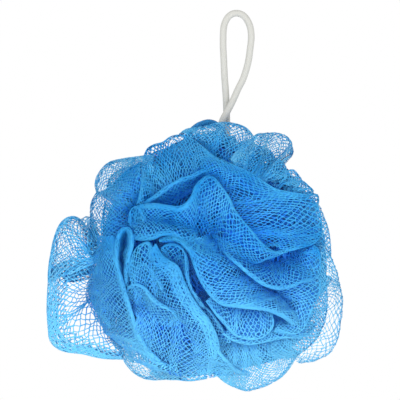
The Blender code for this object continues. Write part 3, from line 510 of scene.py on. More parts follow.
            (-35.5, -23.5, -6), (-38.5, -26.5, -6)], bulge=6, turnBack=1, cell=1.1, band=0.8),
    "bottom_mid": leaf(
        rim=[(-3.5, -29.5, 3), (-1, -37.5, 4), (1.5, -45.5, 4), (6, -51.5, 4), (11.5, -56.5, 1),
            (17.5, -59, -4)],
        root=[(-7.5, -35.5, -6), (-8, -45, -6), (-7.5, -51.5, -6), (-4.5, -56, -5), (0.5, -56.5, -4)],
        bulge=2),
    "inner_q": leaf(
        rim=[(-10.5, 8.5, 3), (-9, 2, 4), (-7.5, -3.5, 4), (-4.5, -7.5, 3), (-0.5, -9.5, 1)],
        root=[(-5, 9.5, -9), (-1, 5.5, -9), (2.5, 2.5, -8)], bulge=3),
    "petal_low": leaf(
        rim=[(-40.5, -11, 3), (-39.5, -6, 4), (-36.5, -3.5, 5), (-32.5, -5, 5), (-29, -9.5, 5),
            (-26, -15, 4), (-23, -21, -2)],
        root=[(-37, -15.5, -7), (-34, -15, -8), (-31.5, -17.5, -8), (-28.5, -22, -7)], bulge=1, band=0.8),
    "slit_curl": leaf(
        rim=[(-26.5, 4, 3), (-23.5, 6, 4), (-19, 6, 5), (-15.5, 3, 5), (-14, -3, 5), (-13.5, -10, 5),
            (-11, -17, 4), (-6, -24.5, 3)],
        root=[(-23.5, -3.5, -6), (-20.5, -5.5, -8), (-17.5, -8.5, -9), (-15.5, -13.5, -9), (-13, -19.5, -9),
            (-9.5, -24.5, -8)], bulge=1, band=0.8),
    "slit_floor": leaf(
        rim=[(-9.5, -22, -2), (-5, -25, -1), (-0.5, -30, 0), (3.5, -35.5, 0), (7.5, -42, 1)],
        root=[(-8.5, -26.5, -8), (-4.5, -31.5, -9), (-1.5, -37, -9), (2, -43.5, -8)], bulge=1, band=0.6),
    "bowl_rim": leaf(
        rim=[(-43, -15, 5), (-39.5, -13.5, 6), (-35.5, -15, 6), (-32, -19, 6), (-27.5, -23, 6),
            (-22, -26, 4), (-16, -31.5, -3)],
        root=[(-40.5, -22.5, -6), (-37, -25.5, -8), (-33, -28.5, -8), (-28, -31.5, -8), (-21.5, -33.5, -7)],
        bulge=0, band=1.2),
    "flap_crease": leaf(
        rim=[(-58.5, 1, 1), (-63.5, -1.5, 4), (-68.5, -4, 6), (-73, -7, 8), (-77.5, -10.5, 8)],
        root=[(-59, -3.5, -3), (-63, -6, -1), (-67.5, -8.5, 1), (-72.5, -12, 4)],
        bulge=1, turnBack=1, cell=0.85, band=2.2, thread=1.2, near=1.1),
    "bottom_back": leaf(
        rim=[(-32.5, -59.5, -9), (-27.5, -61.5, -8), (-21.5, -62, -8), (-13.5, -61, -8), (-5.5, -59, -8),
            (2.5, -59, -9)],
        root=[(-28.5, -49.5, -15), (-23.5, -47.5, -16), (-13.5, -47.5, -16), (-3.5, -48.5, -15)],
        bulge=1, turnBack=1, cell=0.85, band=0.4, near=1.1),
    "left_back": leaf(
        rim=[(-60, -6.5, -6), (-61, -14.5, -7), (-61, -21.5, -8), (-59, -28.5, -8), (-56, -35.5, -8),
            (-52, -42.5, -8), (-47, -48.5, -8), (-41, -53.5, -9)],
        root=[(-51.5, -3.5, -14), (-52.5, -15, -15), (-50.5, -26.5, -15), (-45.5, -36.5, -15),
            (-37.5, -44.5, -15)], bulge=1, turnBack=1, cell=0.85, band=0.4, near=1.02),
    "top_back": leaf(
        rim=[(-54, 33.5, -8), (-52, 39, -8), (-47, 43, -8), (-40.5, 44.5, -8), (-34.5, 47, -8),
            (-30.5, 51, -8), (-24.5, 53, -8), (-17.5, 56, -8), (-9.5, 60, -8), (-2.5, 61.5, -8),
            (4.5, 60.5, -9)],
        root=[(-42.5, 27.5, -14), (-34.5, 32.5, -15), (-23.5, 38.5, -16), (-12.5, 44.5, -16),
            (0.5, 49.5, -14)], bulge=1, turnBack=1, cell=0.9, band=0.3, near=1.2),
    "waist_fold": leaf(
        rim=[(-58, -3.5, -1), (-61, -9.5, 0), (-62.5, -16, 0), (-62, -22, 0), (-59.5, -27, 0),
            (-55.5, -31.5, -1), (-51.5, -36.5, -3)],
        root=[(-53.5, -3.5, -7), (-54.5, -10.5, -8), (-55, -17.5, -8), (-53.5, -23.5, -8),
            (-50.5, -29.5, -8)], bulge=1, turnBack=0.8, cell=0.9, band=1.3),
}


# Sides and back: leaves in rings, each leaning over the next. The inner rings lie deeper, behind the front.
rings = dict(
    angles=(94.0, 117.0, 141.0, 166.0),  # from straight ahead
    counts=(13, 12, 9, 4),
    seed=7,
    tucks=(0.87, 0.87, 0.87, 0.87),  # how far out they reach beside the front leaves
    halfSpan=0.52,
    overlap=0.46,
    wave=0.19,
    # nears: the painted shade and light of each ring's leaves
    nears=(1.02, 1.02, 1.02, 1.02),
)
innerRings = dict(
    angles=(14.0, 38.0, 62.0, 84.0),
    counts=(3, 7, 10, 12),
    seed=23,
    tucks=(0.78, 0.79, 0.82, 0.88),
    halfSpan=0.55,
    overlap=0.34,
    wave=0.22,
    # nears: the inner rings painted darker, as painted shade
    nears=(0.35, 0.35, 0.4, 1.02),
)
sideMake = dict(
    points=7,
    anyPhase=6.3,  # about a whole turn
    waveTurns=0.6,
    curl=0.10,
    spanVaries=(0.85, 1.15),
    rootSpan=0.55,  # the root's share of the rim's
    rootWave=0.5,
    rootReach=0.72,
    droop=0.07,  # how far the rim's ends fall back
    notch=0.03,
    notchTurns=5.0,
    bulge=(3.0, 6.0),
    offAngle=5.0,  # degrees out of its ring
    offTurn=0.12,  # share of the gap to the next leaf
)
tuckMake = dict(start=0.05, over=0.4)  # depth where the rings begin to grow outwards, and over how much


# How far the photographed outline reaches from the ball's middle, by degrees round it, as a share of its
# halves. The side leaves stay inside it by the margin.
outline = np.array([
    (-19, 1.06), (6, 0.91), (26, 0.88), (48, 0.86), (62, 0.93), (73, 0.93), (88, 0.96), (104, 0.93),
    (116, 0.91), (128, 0.92), (140, 1.03), (168, 0.99), (200, 0.98), (228, 1.05), (239, 1.05),
    (253, 0.94), (270, 0.86), (283, 1.02), (306, 1.01), (318, 1.09), (341, 1.06),
])
outlineMargin = 0.05


# within(points): x and z times min(1, (outline - margin) / sqrt((x / halfWidth)^2 + (z / halfHeight)^2))
def within(points):
    x = points[:, 0] / ball["halves"][0]
    z = points[:, 2] / ball["halves"][2]
    reach = np.hypot(x, z)
    turn = np.degrees(np.arctan2(z, x))
    turn = np.where(turn < outline[0, 0], turn + 360, turn)
    allowed = np.interp(turn, *outline.T) - outlineMargin
    factor = np.minimum(1, allowed / np.maximum(reach, 1e-6))
    return points * np.stack([factor, np.ones(len(points)), factor], axis=1)


# tuck(direction, least) = least + (1 - least) s^2 (3 - 2 s), s = (depth - start) / over, so 1 at the back
def tuck(direction, least):
    share = np.clip((direction[:, 1] - tuckMake["start"]) / tuckMake["over"], 0, 1)
    return least + (1 - least) * share * share * (3 - 2 * share)


# rim = middle + w along + wave across, root the same further in, w from -1 to 1
# wave = ring's wave times sin(w pi turns + phase) - curl w^2
def sideLeaf(ring, middle, least, chance):
    make = sideMake
    middle = middle / np.linalg.norm(middle)
    along = np.cross(middle, chance.normal(size=3))
    along /= np.linalg.norm(along)
    across = np.cross(middle, along)
    w = np.linspace(-1, 1, make["points"])
    phase = chance.uniform(0.0, make["anyPhase"])
    wave = ring["wave"] * np.sin(w * math.pi * 2 * make["waveTurns"] + phase) - make["curl"] * w**2
    span = ring["halfSpan"] * chance.uniform(*make["spanVaries"])
    lean = ring["overlap"] / 2
    rim = unit(middle + np.outer(w * span, along) + np.outer(wave + lean, across))
    inner = middle + np.outer(w * span * make["rootSpan"], along)
    root = unit(inner - np.outer(make["rootWave"] * wave + lean, across))
    phase = chance.uniform(0.0, make["anyPhase"])
    reach = 1 - make["droop"] * w**2 + make["notch"] * np.sin(w * make["notchTurns"] + phase)
    rim = within(rim * (tuck(rim, least) * reach)[:, None] * ball["halves"])
    root = root * (tuck(root, least) * make["rootReach"])[:, None] * ball["halves"]
    return dict(rim=rim, root=root, bulge=chance.uniform(*make["bulge"]))


# middle = (sin p cos t, -cos p, sin p sin t), p the ring's angle, t = 2 pi k / count, both a little off
def ringLeaves(ring):
    chance = np.random.default_rng(ring["seed"])
    off = sideMake["offAngle"]
    leaves = []
    rows = zip(ring["angles"], ring["counts"], ring["tucks"], ring["nears"])
    for angle, count, least, near in rows:
        for k in range(count):
            polar = math.radians(angle + chance.uniform(-off, off))
            place = k + 0.5 * (count % 2) + chance.uniform(-sideMake["offTurn"], sideMake["offTurn"])
            turn = 2 * math.pi * place / count
            flat = math.sin(polar)
            middle = np.array([flat * math.cos(turn), -math.cos(polar), flat * math.sin(turn)])
            leaves.append(dict(sideLeaf(ring, middle, least, chance), near=near))
    return leaves


# ripples = ripple (sin(pi (v / 3)^towards) + atEnds) (sin(turns u + rimLength) + a finer one)
def ripples(u, v, rimLength):
    make = leafMake
    waves = max(make["fewestRipples"], rimLength / make["rippleLength"])
    turns = 2 * math.pi * waves * u
    share, quicker = make["fineRipple"]
    along = np.sin(turns + rimLength) + share * np.sin(turns * quicker + 2 * rimLength)
    out = np.sin(math.pi * np.clip(v / 3, 0, 1) ** make["rippleTowardsRim"]) + make["rippleAtEnds"]
    return make["ripple"] * out[None] * along[:, None]


# leafSheet(spec): F(u, v) = through(deep, root, belly, rim) + N ripple, N its normal and T outwards on it;
# front F + N h / 2, fold rim + (N cos a + T sin a) foldHeight / 2, back F - N h / 2,
# h = foldHeight + puff sin(pi v / 3)
def leafSheet(spec):
    make = leafMake
    u = np.linspace(0, 1, make["acrossSteps"])
    v = np.linspace(0, 3, make["deepSteps"])
    rim = smoothLine(spec["rim"], u)
    root = smoothLine(spec["root"], u)
    share = np.linalg.norm(root / ball["halves"], axis=1, keepdims=True)
    deep = root * np.minimum(ball["rootShare"] / share, ball["nearestRoot"])
    outwards = unit((rim + root) / 2)
    if spec.get("forward"):
        outwards = np.array([0.0, -1.0, 0.0])
    # the second time round, the rim stands back by the fold that goes round it
    for _ in range(2):
        belly = (rim + root) / 2 + spec["bulge"] * outwards
        middle = through(np.stack([deep, root, belly, rim]), v).transpose(1, 0, 2)
        forward = unit(np.gradient(middle, axis=1))
        rim = smoothLine(spec["rim"], u) - forward[:, -1] * make["foldHeight"] / 2
    normal = unit(np.cross(forward, np.gradient(middle, axis=0)))
    facing = unit(middle) + np.array([0.0, -1.0, 0.0]) * (middle[..., 1:2] < 0)
    if (normal * facing).sum(-1).mean() < 0:
        normal = -normal
    rimLength = np.linalg.norm(np.diff(rim, axis=0), axis=1).sum()
    middle = middle + normal * ripples(u, v, rimLength)[..., None]
    height = make["foldHeight"] + make["puff"] * np.sin(math.pi * v / 3)
    half = normal * height[None, :, None] / 2
    angle = np.linspace(0, math.pi, make["foldSteps"] + 2)[None, 1:-1, None]
    foldNormal = normal[:, -1:] * np.cos(angle) + forward[:, -1:] * np.sin(angle)
    fold = middle[:, -1:] + make["foldHeight"] / 2 * foldNormal
    back = max(2, int(make["deepSteps"] * spec.get("turnBack", make["turnBack"])))
    points = np.concatenate([middle + half, fold, (middle - half)[:, ::-1][:, :back]], axis=1)
    normals = np.concatenate([normal, foldNormal, -normal[:, ::-1][:, :back]], axis=1)
    rimColumn = make["deepSteps"] + make["foldSteps"] // 2
    return (ball["middle"] + points) * mm, normals, rimLength, rimColumn


# Net: knots on a diagonal lattice, each joined to the two knots of the next row, so each cell is a long
# hexagon. Threads side by side along the fold close it into a band, and looser ones beside it make a strap.
netMake = dict(
    spacing=1.08,  # between neighbouring threads
    countAt=0.6,  # share of the way out where the other half of the thread count is taken
    period=2.75,  # one cell, deep into the ball
    knot=0.45,
    thread=0.43,  # width of a thread
    knotWidth=1.5,  # times a thread's
    widthVaries=0.12,
    runOn=0.25,  # how far a thread runs on at both ends, times its width
    ridge=0.17,  # how far its middle stands up
    ridgeFrom=0.3,  # share of the way out where that begins,
    ridgePast=2.0,  # how far behind the fold it ends,
    ridgeBelow=1.2,  # and the coarseness that has none
    wobble=0.2,
    gather=0.028,  # how unevenly the threads bunch up along the rim
    gatherWaves=(1.7, 3.1, 5.3),
    band=1.25,  # half width of the closed band at the rim
    bandStep=0.42,
    bandSwell=0.35,  # how much the band's width varies along the rim
    swellLength=17.0,
    rimThread=0.36,
    rimStep=1.1,  # one straight piece of a rim thread
    rimWobble=0.14,
    strapStep=0.45,
    strapDrift=0.3,
    driftLength=23.0,
    tube=300.0,  # the net tube laid flat, twice its width
    mapMargin=0.03,
    seed=11,
)

# painted shade and light on the net: darker towards the roots and behind the fold, paler where painted as
# lit from behind
paintedLightAndTone = dict(
    deepest=0.45,  # painted shade at the root
    foldPast=1.5,  # how far past the rim the fold still counts as its front
    behind=0.6,  # painted shade just behind the fold
    # painted backlight: the least light of a leaf with near over 1
    paintedBacklightLeast=0.8,
    most=1.1,
    uneven=0.16,  # how much one thread's shade differs from the next
)


# sampleGrid(grid, across, deep): the grid read between points, (1-x)(1-y) a + x (1-y) b + (1-x) y c + x y d
def sampleGrid(grid, across, deep):
    rows, columns = grid.shape[:2]
    x = np.clip(across, 0, 1) * (rows - 1)
    y = np.clip(deep, 0, 1) * (columns - 1)
    i = np.minimum(x.astype(int), rows - 2)
    j = np.minimum(y.astype(int), columns - 2)
    x = (x - i)[..., None]
    y = (y - j)[..., None]
    near = grid[i, j] * (1 - x) * (1 - y) + grid[i + 1, j] * x * (1 - y)
    return near + grid[i, j + 1] * (1 - x) * y + grid[i + 1, j + 1] * x * y


# lattice(count, rows, chance): start and end (across, row) of the knots and of the legs between them
# across = k / count + jitter, deep = row + jitter, wherever k + row is even
def lattice(count, rows, chance):
    k, row = np.meshgrid(np.arange(count + 1), np.arange(rows + 1), indexing="ij")
    across = k / count
    for wave in netMake["gatherWaves"]:
        push = netMake["gather"] / wave
        phase = chance.uniform(0, sideMake["anyPhase"])
        across = across + push * np.sin(2 * math.pi * wave * across + phase)
    across = (across - across.min()) / (across.max() - across.min())
    across = across + chance.normal(size=k.shape) * netMake["wobble"] / count
    deep = row + chance.normal(size=k.shape) * netMake["wobble"]
    even = (k + row) % 2 == 0
    runs = [(across[even], deep[even], across[even], deep[even])]
    for step in (-1, 1):
        a = np.nonzero(even & (k + step >= 0) & (k + step <= count) & (row + 1 <= rows))
        b = (a[0] + step, a[1] + 1)
        runs.append((across[a], deep[a], across[b], deep[b]))
    return runs


# threads: ribbons from start to end, as one quad each or as two that meet on a raised ridge
def threads(start, startNormal, end, endNormal, width, ridged):
    run = unit(end - start)
    reach = run * width[:, None] * netMake["runOn"]
    corners = []
    for point, normal in ((start - reach, startNormal), (end + reach, endNormal)):
        side = unit(np.cross(run, normal)) * width[:, None] / 2
        row = [point - side, point + side]
        if ridged:
            row.insert(1, point + unit(normal) * netMake["ridge"] * mm)
        corners += row
    points = np.stack(corners, axis=1)
    first = np.arange(0, points.shape[0] * points.shape[1], points.shape[1])[:, None]
    if ridged:
        return points.reshape(-1, 3), np.concatenate([first + [0, 3, 4, 1], first + [1, 4, 5, 2]])
    return points.reshape(-1, 3), first + [0, 2, 3, 1]


# rimThreads: lines along the fold, at rim + line swell inside the band and rim + line + drift beyond it
# swell = 1 + bandSwell sin(turns u + rimLength), drift = strapDrift sin(turns u + 3 line)
def rimThreads(spec, rimPlace, rimLength, chance, fine):
    make = netMake
    band = spec.get("band", make["band"])
    strap = spec.get("bandIn", 0.0)
    steps = max(8, round(rimLength / make["rimStep"]))
    u = np.linspace(0, 1, steps + 1)
    swell = 1 + make["bandSwell"] * np.sin(2 * math.pi * rimLength / make["swellLength"] * u + rimLength)
    inside = np.arange(-band, band + 0.01, make["bandStep"])
    beside = band + np.arange(make["strapStep"], strap + 0.01, make["strapStep"])
    runs = []
    for line in np.concatenate([-beside, inside, beside]):
        closed = np.clip(line, -band, band)
        drift = make["strapDrift"] * np.sin(2 * math.pi * rimLength / make["driftLength"] * u + 3 * line)
        d = rimPlace + closed * swell + line - closed + drift * (line != closed)
        d = d + make["rimWobble"] * chance.normal(size=steps + 1)
        runs.append(np.stack([u[:-1], d[:-1], u[1:], d[1:], np.full(steps, make["rimThread"] * fine)]))
    return runs


# the painted shade and light of a thread, kept as its depth. With p = place / rimPlace it is deepest + (1 -
# deepest) p in front, so darker towards the root, behind (2 - p) at the back, times near. A leaf with near
# over 1 is painted as lit
# from behind: least + (1 - least) o on both layers, o = 1 - |p - 1|, and near comes in with o. A random tone
# is added.
def paintedLightLevel(place, rimPlace, near, tone):
    make = paintedLightAndTone
    past = (place - rimPlace) / rimPlace
    front = make["deepest"] + (1 - make["deepest"]) * place / rimPlace
    depth = np.where(place < rimPlace + make["foldPast"], front, make["behind"] * (1 - past))
    if near > 1:
        outer = 1 - np.abs(past)
        depth = make["paintedBacklightLeast"] + (1 - make["paintedBacklightLeast"]) * outer
        near = 1 + (near - 1) * np.clip(2 * outer - 0.5, 0, 1)
    return np.minimum(depth + tone, make["most"]) * near


# leafNet: the lattice and the rim threads of one leaf, their ends read off its sheet at the share across and
# the millimetres out from its root
def leafNet(spec, chance, cell, fine):
    make = netMake
    sheet, normals, rimLength, rimColumn = leafSheet(spec)
    deepLength = np.linalg.norm(np.diff(sheet, axis=1), axis=2).mean(axis=0)
    deepLength = np.r_[0, np.cumsum(deepLength)] / mm
    total = deepLength[-1]
    rimPlace = deepLength[rimColumn]
    size = spec.get("cell", 1.0) * fine
    waist = sheet[:, round(rimColumn * make["countAt"])]
    waistLength = np.linalg.norm(np.diff(waist, axis=0), axis=1).sum() / mm
    count = max(4, round((rimLength + waistLength) / 2 / (make["spacing"] * size)))
    rows = max(4, round(total / (make["period"] * size / 2)))
    rowLength = total / rows
    half = make["knot"] / 2
    thread = make["thread"] * spec.get("thread", 1.0) * fine
    runs = []
    for k, (u0, d0, u1, d1) in enumerate(lattice(count, rows, chance)):
        grow, width = (half, make["knotWidth"] * thread) if k == 0 else (-half, thread)
        run = [u0, d0 * rowLength - grow, u1, d1 * rowLength + grow, np.full(len(u0), width)]
        runs.append(np.stack(run))
    runs += rimThreads(spec, rimPlace, rimLength, chance, fine)
    u0, d0, u1, d1, width = np.concatenate(runs, axis=1)
    d0 = np.clip(d0, 0, total)
    d1 = np.clip(d1, 0, total)
    ends = []
    for u, d in ((u0, d0), (u1, d1)):
        share = np.interp(d, deepLength, np.linspace(0, 1, len(deepLength)))
        ends += [sampleGrid(sheet, u, share), sampleGrid(normals, u, share)]
    width = width * (1 + make["widthVaries"] * chance.normal(size=len(width)))
    spread = 0.5 * width / max(rimLength, total)
    tones = paintedLightAndTone["uneven"] * chance.normal(size=len(width))
    ridges = (d0 < rimPlace + make["ridgePast"]) & (d0 > make["ridgeFrom"] * rimPlace)
    ridges &= fine < make["ridgeBelow"]
    points, faces, coords, places, tone, placed = [], [], [], [], [], 0
    for ridged, pick in ((True, ridges), (False, ~ridges)):
        p, f = threads(*[part[pick] for part in ends], width[pick] * mm, ridged)
        points.append(p)
        faces.append(f + placed)
        placed += len(p)
        sides = np.array([-1, 0, 1] if ridged else [-1, 1])
        across = [u[pick][:, None] + sides * spread[pick][:, None] for u in (u0, u1)]
        out = np.repeat(np.stack([d0[pick], d1[pick]], axis=1), len(sides), axis=1)
        coords.append(np.stack([np.hstack(across), out / total], axis=-1).reshape(-1, 2))
        places.append(out.ravel())
        tone.append(np.repeat(tones[pick], 2 * len(sides)))
    coords = np.clip(np.concatenate(coords), 0, 1)
    column, row, cells = cell
    coords = (coords * (1 - 2 * make["mapMargin"]) + make["mapMargin"] + [column, row]) / cells
    depth = paintedLightLevel(np.concatenate(places), rimPlace, spec.get("near", 1.0), np.concatenate(tone))
    return np.concatenate(points), faces, coords, depth, rimLength * total * mm**2


# what every piece of the net has in common
def asNet(piece):
    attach(piece, "root")
    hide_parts("netting")


# netPiece(name, specs, seed, fine): leaves as one object, each with its own square of the map
def netPiece(name, specs, seed, fine):
    chance = np.random.default_rng(netMake["seed"] + seed)
    across = math.ceil(math.sqrt(len(specs)))
    points, faces, coords, depth, placed, surface = [], [], [], [], 0, 0
    for k, spec in enumerate(specs):
        p, f, c, d, smooth = leafNet(spec, chance, (k % across, k // across, across), fine)
        points.append(p)
        faces += [part + placed for part in f]
        coords.append(c)
        depth.append(d)
        placed += len(p)
        surface += smooth
    piece = meshPiece(name, np.concatenate(points), np.concatenate(faces), np.concatenate(coords))
    # depth: each point's painted shade and light, with a random tone per thread
    layer = piece.data.attributes.new("depth", "FLOAT", "POINT")
    layer.data.foreach_set("value", np.concatenate(depth).astype(np.float32))
    area = sum(face.area for face in piece.data.polygons)
    asNet(piece)
    width = netMake["tube"] * mm
    surface / width
    triangles = 2 * len(piece.data.polygons)
    print(name, len(specs), "leaves,", triangles, "triangles, closed", round(area / surface, 2))
    return piece


# Packed gathers: the dense pleats under the leaves, seen only down the deep folds
packed = dict(
    share=0.74,  # of the ball's halves
    pleat=0.05,
    pleats=23,
    swirl=6.0,
    swells=((0.5, 3, 5), (0.4, -2, 7)),  # height, turns round and turns down of the broad swells
    rows=100,
    columns=300,
    poleGap=0.02,
)


# r(a, b) = share (1 + pleat (sin(pleats a + swirl cos b) sqrt(sin b) + swells)) on the ball's halves
def makePacked():
    b = np.linspace(packed["poleGap"], math.pi - packed["poleGap"], packed["rows"])[:, None]
    a = np.linspace(0, 2 * math.pi, packed["columns"], endpoint=False)[None]
    wave = np.sin(packed["pleats"] * a + packed["swirl"] * np.cos(b)) * np.sin(b) ** 0.5
    for height, around, down in packed["swells"]:
        wave = wave + height * np.sin(around * a + down * b)
    r = packed["share"] * (1 + packed["pleat"] * wave)
    shape = np.stack([np.sin(b) * np.cos(a), np.sin(b) * np.sin(a), np.cos(b) * np.ones_like(a)], axis=-1)
    points = ball["middle"] + r[..., None] * shape * ball["halves"]
    ends = np.array([points[0].mean(axis=0), points[-1].mean(axis=0)])
    points = np.vstack([points.reshape(-1, 3), ends]) * mm
    faces = gridFaces(packed["rows"], packed["columns"], closed=True)
    piece = meshPiece("packed_gathers", points, closedTube(faces, packed["rows"], packed["columns"]))
    asNet(piece)
    return piece


# Rolled end of the net tube beside the cord: a sheet rolled up on its own route, from the ball's middle
rollMake = dict(
    route=[(-14.5, -2.0, 54.0), (-13.0, -3.0, 60.0), (-9.5, -4.0, 63.6), (-6.5, -4.5, 65.2),
        (-3.0, -4.5, 66.0), (0.5, -4.0, 64.8), (3.5, -3.0, 61.0), (5.0, -2.0, 55.0)],
    inner=0.7,
    outer=1.9,
    turns=2.2,
    rings=90,
    around=70,
    length=0.0345,  # metres along the route
)


# roll(s, a) = line(s) + r(a) (side cos a + lift sin a), r growing from inner to outer
def makeRoll():
    line = smoothLine(rollMake["route"], np.linspace(0, 1, rollMake["rings"])) + ball["middle"]
    side, lift = tubeFrame(line)
    share = np.linspace(0, 1, rollMake["around"])[None, :, None]
    angle = 2 * math.pi * rollMake["turns"] * share
    radius = rollMake["inner"] + (rollMake["outer"] - rollMake["inner"]) * share
    points = line[:, None] + radius * (side * np.cos(angle) + lift * np.sin(angle))
    faces = gridFaces(rollMake["rings"], rollMake["around"])
    roll = meshPiece("net_end_roll", points.reshape(-1, 3) * mm, faces)
    asNet(roll)
    return roll


netLook = dict(
    paintedBottomLight=(0.17, 0.66, 1.0),  # painted light: the net paler towards the bottom
    paintedBottomLightFrom=-0.115,  # height in metres
    paintedBottomLightBy=-0.185,
    paintedBottomLightShare=0.85,
    light=(0.048, 0.385, 0.745),
    colour=(0.008, 0.262, 0.665),
    # deep: painted shade, towards the roots and behind the fold
    deep=(0.0, 0.145, 0.9),
    # packed: the net's blue made darker, painted shade for the deeper pleats
    packed=(0.004, 0.18, 0.6),
    packedGapShade=0.65,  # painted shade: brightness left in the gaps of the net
    paintedBacklight=(0.17, 0.56, 0.86),  # painted backlight: a single net with light behind it, paler
    paintedBacklightShare=0.8,
    roughness=0.5,
)


# shade = mix(mix(deep, mix(mix(colour, light, cloudy), bottom colour, low), depth), backlit colour, depth
# above 1.1):
# a random cloudy tone, painted light paler towards the bottom, painted shade towards deep, and a paler
# painted backlight
def netFinish(name):
    finish = Finish(name)
    cloudy = finish.noise(scale=55, detail=3)
    speck = finish.noise(scale=700, detail=2)
    blend = finish.range(cloudy + 0.35 * (speck - 0.5), low=0.3, high=0.7)
    # the painted shade and light kept at each point
    near = finish.kept("depth")
    height = finish.node("ShaderNodeSeparateXYZ", {}, finish.where(), output=2)
    # painted light: paler towards the bottom of the ball, by height
    low = finish.range(height, netLook["paintedBottomLightFrom"], netLook["paintedBottomLightBy"])
    shade = finish.mix(blend, netLook["colour"], netLook["light"])
    shade = finish.mix(low * netLook["paintedBottomLightShare"], shade, netLook["paintedBottomLight"])
    # painted shade: towards the deep colour where the kept value is low
    shade = finish.mix(finish.range(near, low=0.0, high=0.9), netLook["deep"], shade)
    # painted backlight: paler where the kept value is above 1.1
    paintedBacklight = finish.range(near, low=1.1, high=1.4) * netLook["paintedBacklightShare"]
    shade = finish.mix(paintedBacklight, shade, netLook["paintedBacklight"])
    start = netLook["roughness"] - 0.08
    rough = finish.range(speck, low=0.3, high=0.7, start=start, end=start + 0.2)
    finish.set(Base_Color=shade, Roughness=rough, Specular_IOR_Level=0.18)
    return finish.material


# packed net: the edges between cells stand up as threads, and the gaps are darker, as painted shade
def packedFinish(name, colour, size):
    finish = Finish(name)
    edge = {"feature": "DISTANCE_TO_EDGE"}
    cells = finish.node("ShaderNodeTexVoronoi", edge, Vector=finish.where(), Scale=size)
    gap = finish.range(cells, low=0.05, high=0.25)
    bump = finish.node("ShaderNodeBump", {"invert": True}, Strength=0.8, Distance=0.6 * mm, Height=gap)
    # painted shade in the gaps between the cells
    dark = tuple(netLook["packedGapShade"] * c for c in colour)
    finish.set(Base_Color=finish.mix(gap, colour, dark), Roughness=0.6, Normal=bump)
    return finish.material


upper = [
    "top_back", "top_lobe", "left_fan", "cup_far", "cup_near", "top_left_lobe", "top_left_inner",
    "small_lobe", "right_leaf", "centre_leaf", "upper_right_a", "upper_right_b", "upper_right_c",
    "upper_right_d", "upper_right_e", "right_edge",
]
flaps = ["flap_upper", "flap_lower", "flap_crease", "flap_far"]
lower = [name for name in frontLeaves if name not in upper + flaps]
back = ringLeaves(rings)
inner = [dict(spec, band=0.8) for spec in ringLeaves(innerRings)]

net = netFinish("blue_net")
for seed, (name, specs, fine) in enumerate([
    ("front_net_top", [frontLeaves[k] for k in upper[:8]], 1.0),
    ("front_net_right", [frontLeaves[k] for k in upper[8:]], 1.0),
    ("front_net_left", [frontLeaves[k] for k in lower[:9]], 1.0),
    ("front_net_bottom", [frontLeaves[k] for k in lower[9:]], 1.0),
    ("side_flap_net", [frontLeaves[k] for k in flaps], 1.0),
    ("ring_net_a", back[0::3], 1.25),
    ("ring_net_b", back[1::3], 1.25),
    ("ring_net_c", back[2::3], 1.25),
    ("inner_net", inner, 1.6),
]):
    netPiece(name, specs, seed, fine).data.materials.append(net)
makePacked().data.materials.append(packedFinish("packed_net", netLook["packed"], 620))
makeRoll().data.materials.append(packedFinish("rolled_net", netLook["colour"], 900))
print("netting made")


# Floor and light: a white room, with a broad lamp from the upper left front and a weaker one low in front
stageLook = dict(
    floorHeight=-0.62,
    floorSize=12.0,
    white=0.98,
    clearFrom=0.5,  # beyond this the floor runs out into the white backdrop
    clearBy=1.6,
    roomStrength=0.74,
    keyStrength=0.85,
    keySpread=40.0,
    keyFrom=(-0.4, -1.0, 0.4),
    lowWatts=1.6,
    lowFrom=(0.1, -0.5, -0.28),
    lowSize=0.5,
)


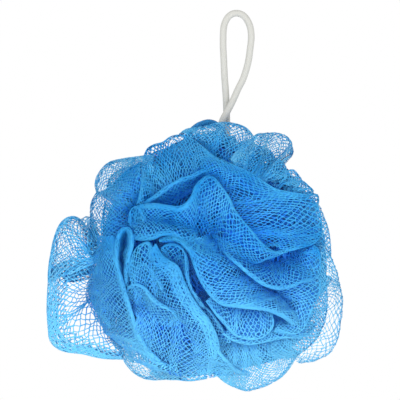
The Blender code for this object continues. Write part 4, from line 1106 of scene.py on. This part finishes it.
# white paper that keeps the object's shadow, and further out gives way to plain white
def makeFloor():
    look = stageLook
    bpy.ops.mesh.primitive_plane_add(size=look["floorSize"], location=(0, 0, look["floorHeight"]))
    floor = bpy.context.object
    floor.name = "floor"
    paper = Finish("white_floor")
    paper.set(Base_Color=(look["white"],) * 3 + (1,), Roughness=0.9, Specular_IOR_Level=0.0)
    distance = paper.node("ShaderNodeVectorMath", {"operation": "LENGTH"}, paper.where(), output=1)
    path = paper.nodes.new("ShaderNodeLightPath")
    seen = Value(paper, path.outputs["Is Camera Ray"])
    for ray in ("Is Glossy Ray", "Is Transmission Ray"):
        seen = seen.maths("MAXIMUM", Value(paper, path.outputs[ray]))
    far = paper.range(distance, look["clearFrom"], look["clearBy"]) * seen
    glow = paper.node("ShaderNodeEmission", {}, Color=(1, 1, 1, 1), Strength=1.0)
    both = paper.node("ShaderNodeMixShader", {}, far, Value(paper, paper.shader.outputs[0]), glow)
    paper.links.new(both.socket, paper.nodes["Material Output"].inputs[0])
    floor.data.materials.append(paper.material)


# the room lights with its own strength and is seen as plain white
def makeRoom():
    room = bpy.data.worlds.new("room")
    room.use_nodes = True
    bpy.context.scene.world = room
    nodes = room.node_tree.nodes
    links = room.node_tree.links
    light = nodes["Background"]
    light.inputs["Color"].default_value = (1, 1, 1, 1)
    light.inputs["Strength"].default_value = stageLook["roomStrength"]
    shown = nodes.new("ShaderNodeBackground")
    shown.inputs["Color"].default_value = (1, 1, 1, 1)
    path = nodes.new("ShaderNodeLightPath")
    mix = nodes.new("ShaderNodeMixShader")
    links.new(path.outputs["Is Camera Ray"], mix.inputs[0])
    links.new(light.outputs[0], mix.inputs[1])
    links.new(shown.outputs[0], mix.inputs[2])
    links.new(mix.outputs[0], nodes["World Output"].inputs["Surface"])


def makeLamps():
    look = stageLook
    key = bpy.data.lights.new("key", "SUN")
    key.energy = look["keyStrength"]
    key.angle = math.radians(look["keySpread"])
    low = bpy.data.lights.new("low_softbox", "AREA")
    low.energy = look["lowWatts"]
    low.size = look["lowSize"]
    towardsBall = np.array(look["lowFrom"]) - ball["middle"] * mm
    for lamp, place, direction in (
        (key, look["keyFrom"], look["keyFrom"]),
        (low, look["lowFrom"], towardsBall),
    ):
        holder = bpy.data.objects.new(lamp.name, lamp)
        holder.location = place
        holder.rotation_euler = Vector(direction).to_track_quat("Z", "Y").to_euler()
        holder.visible_camera = False
        bpy.context.scene.collection.objects.link(holder)


makeFloor()
makeRoom()
makeLamps()
print("stage set")
bpy.context.scene.view_settings.view_transform = "Standard"
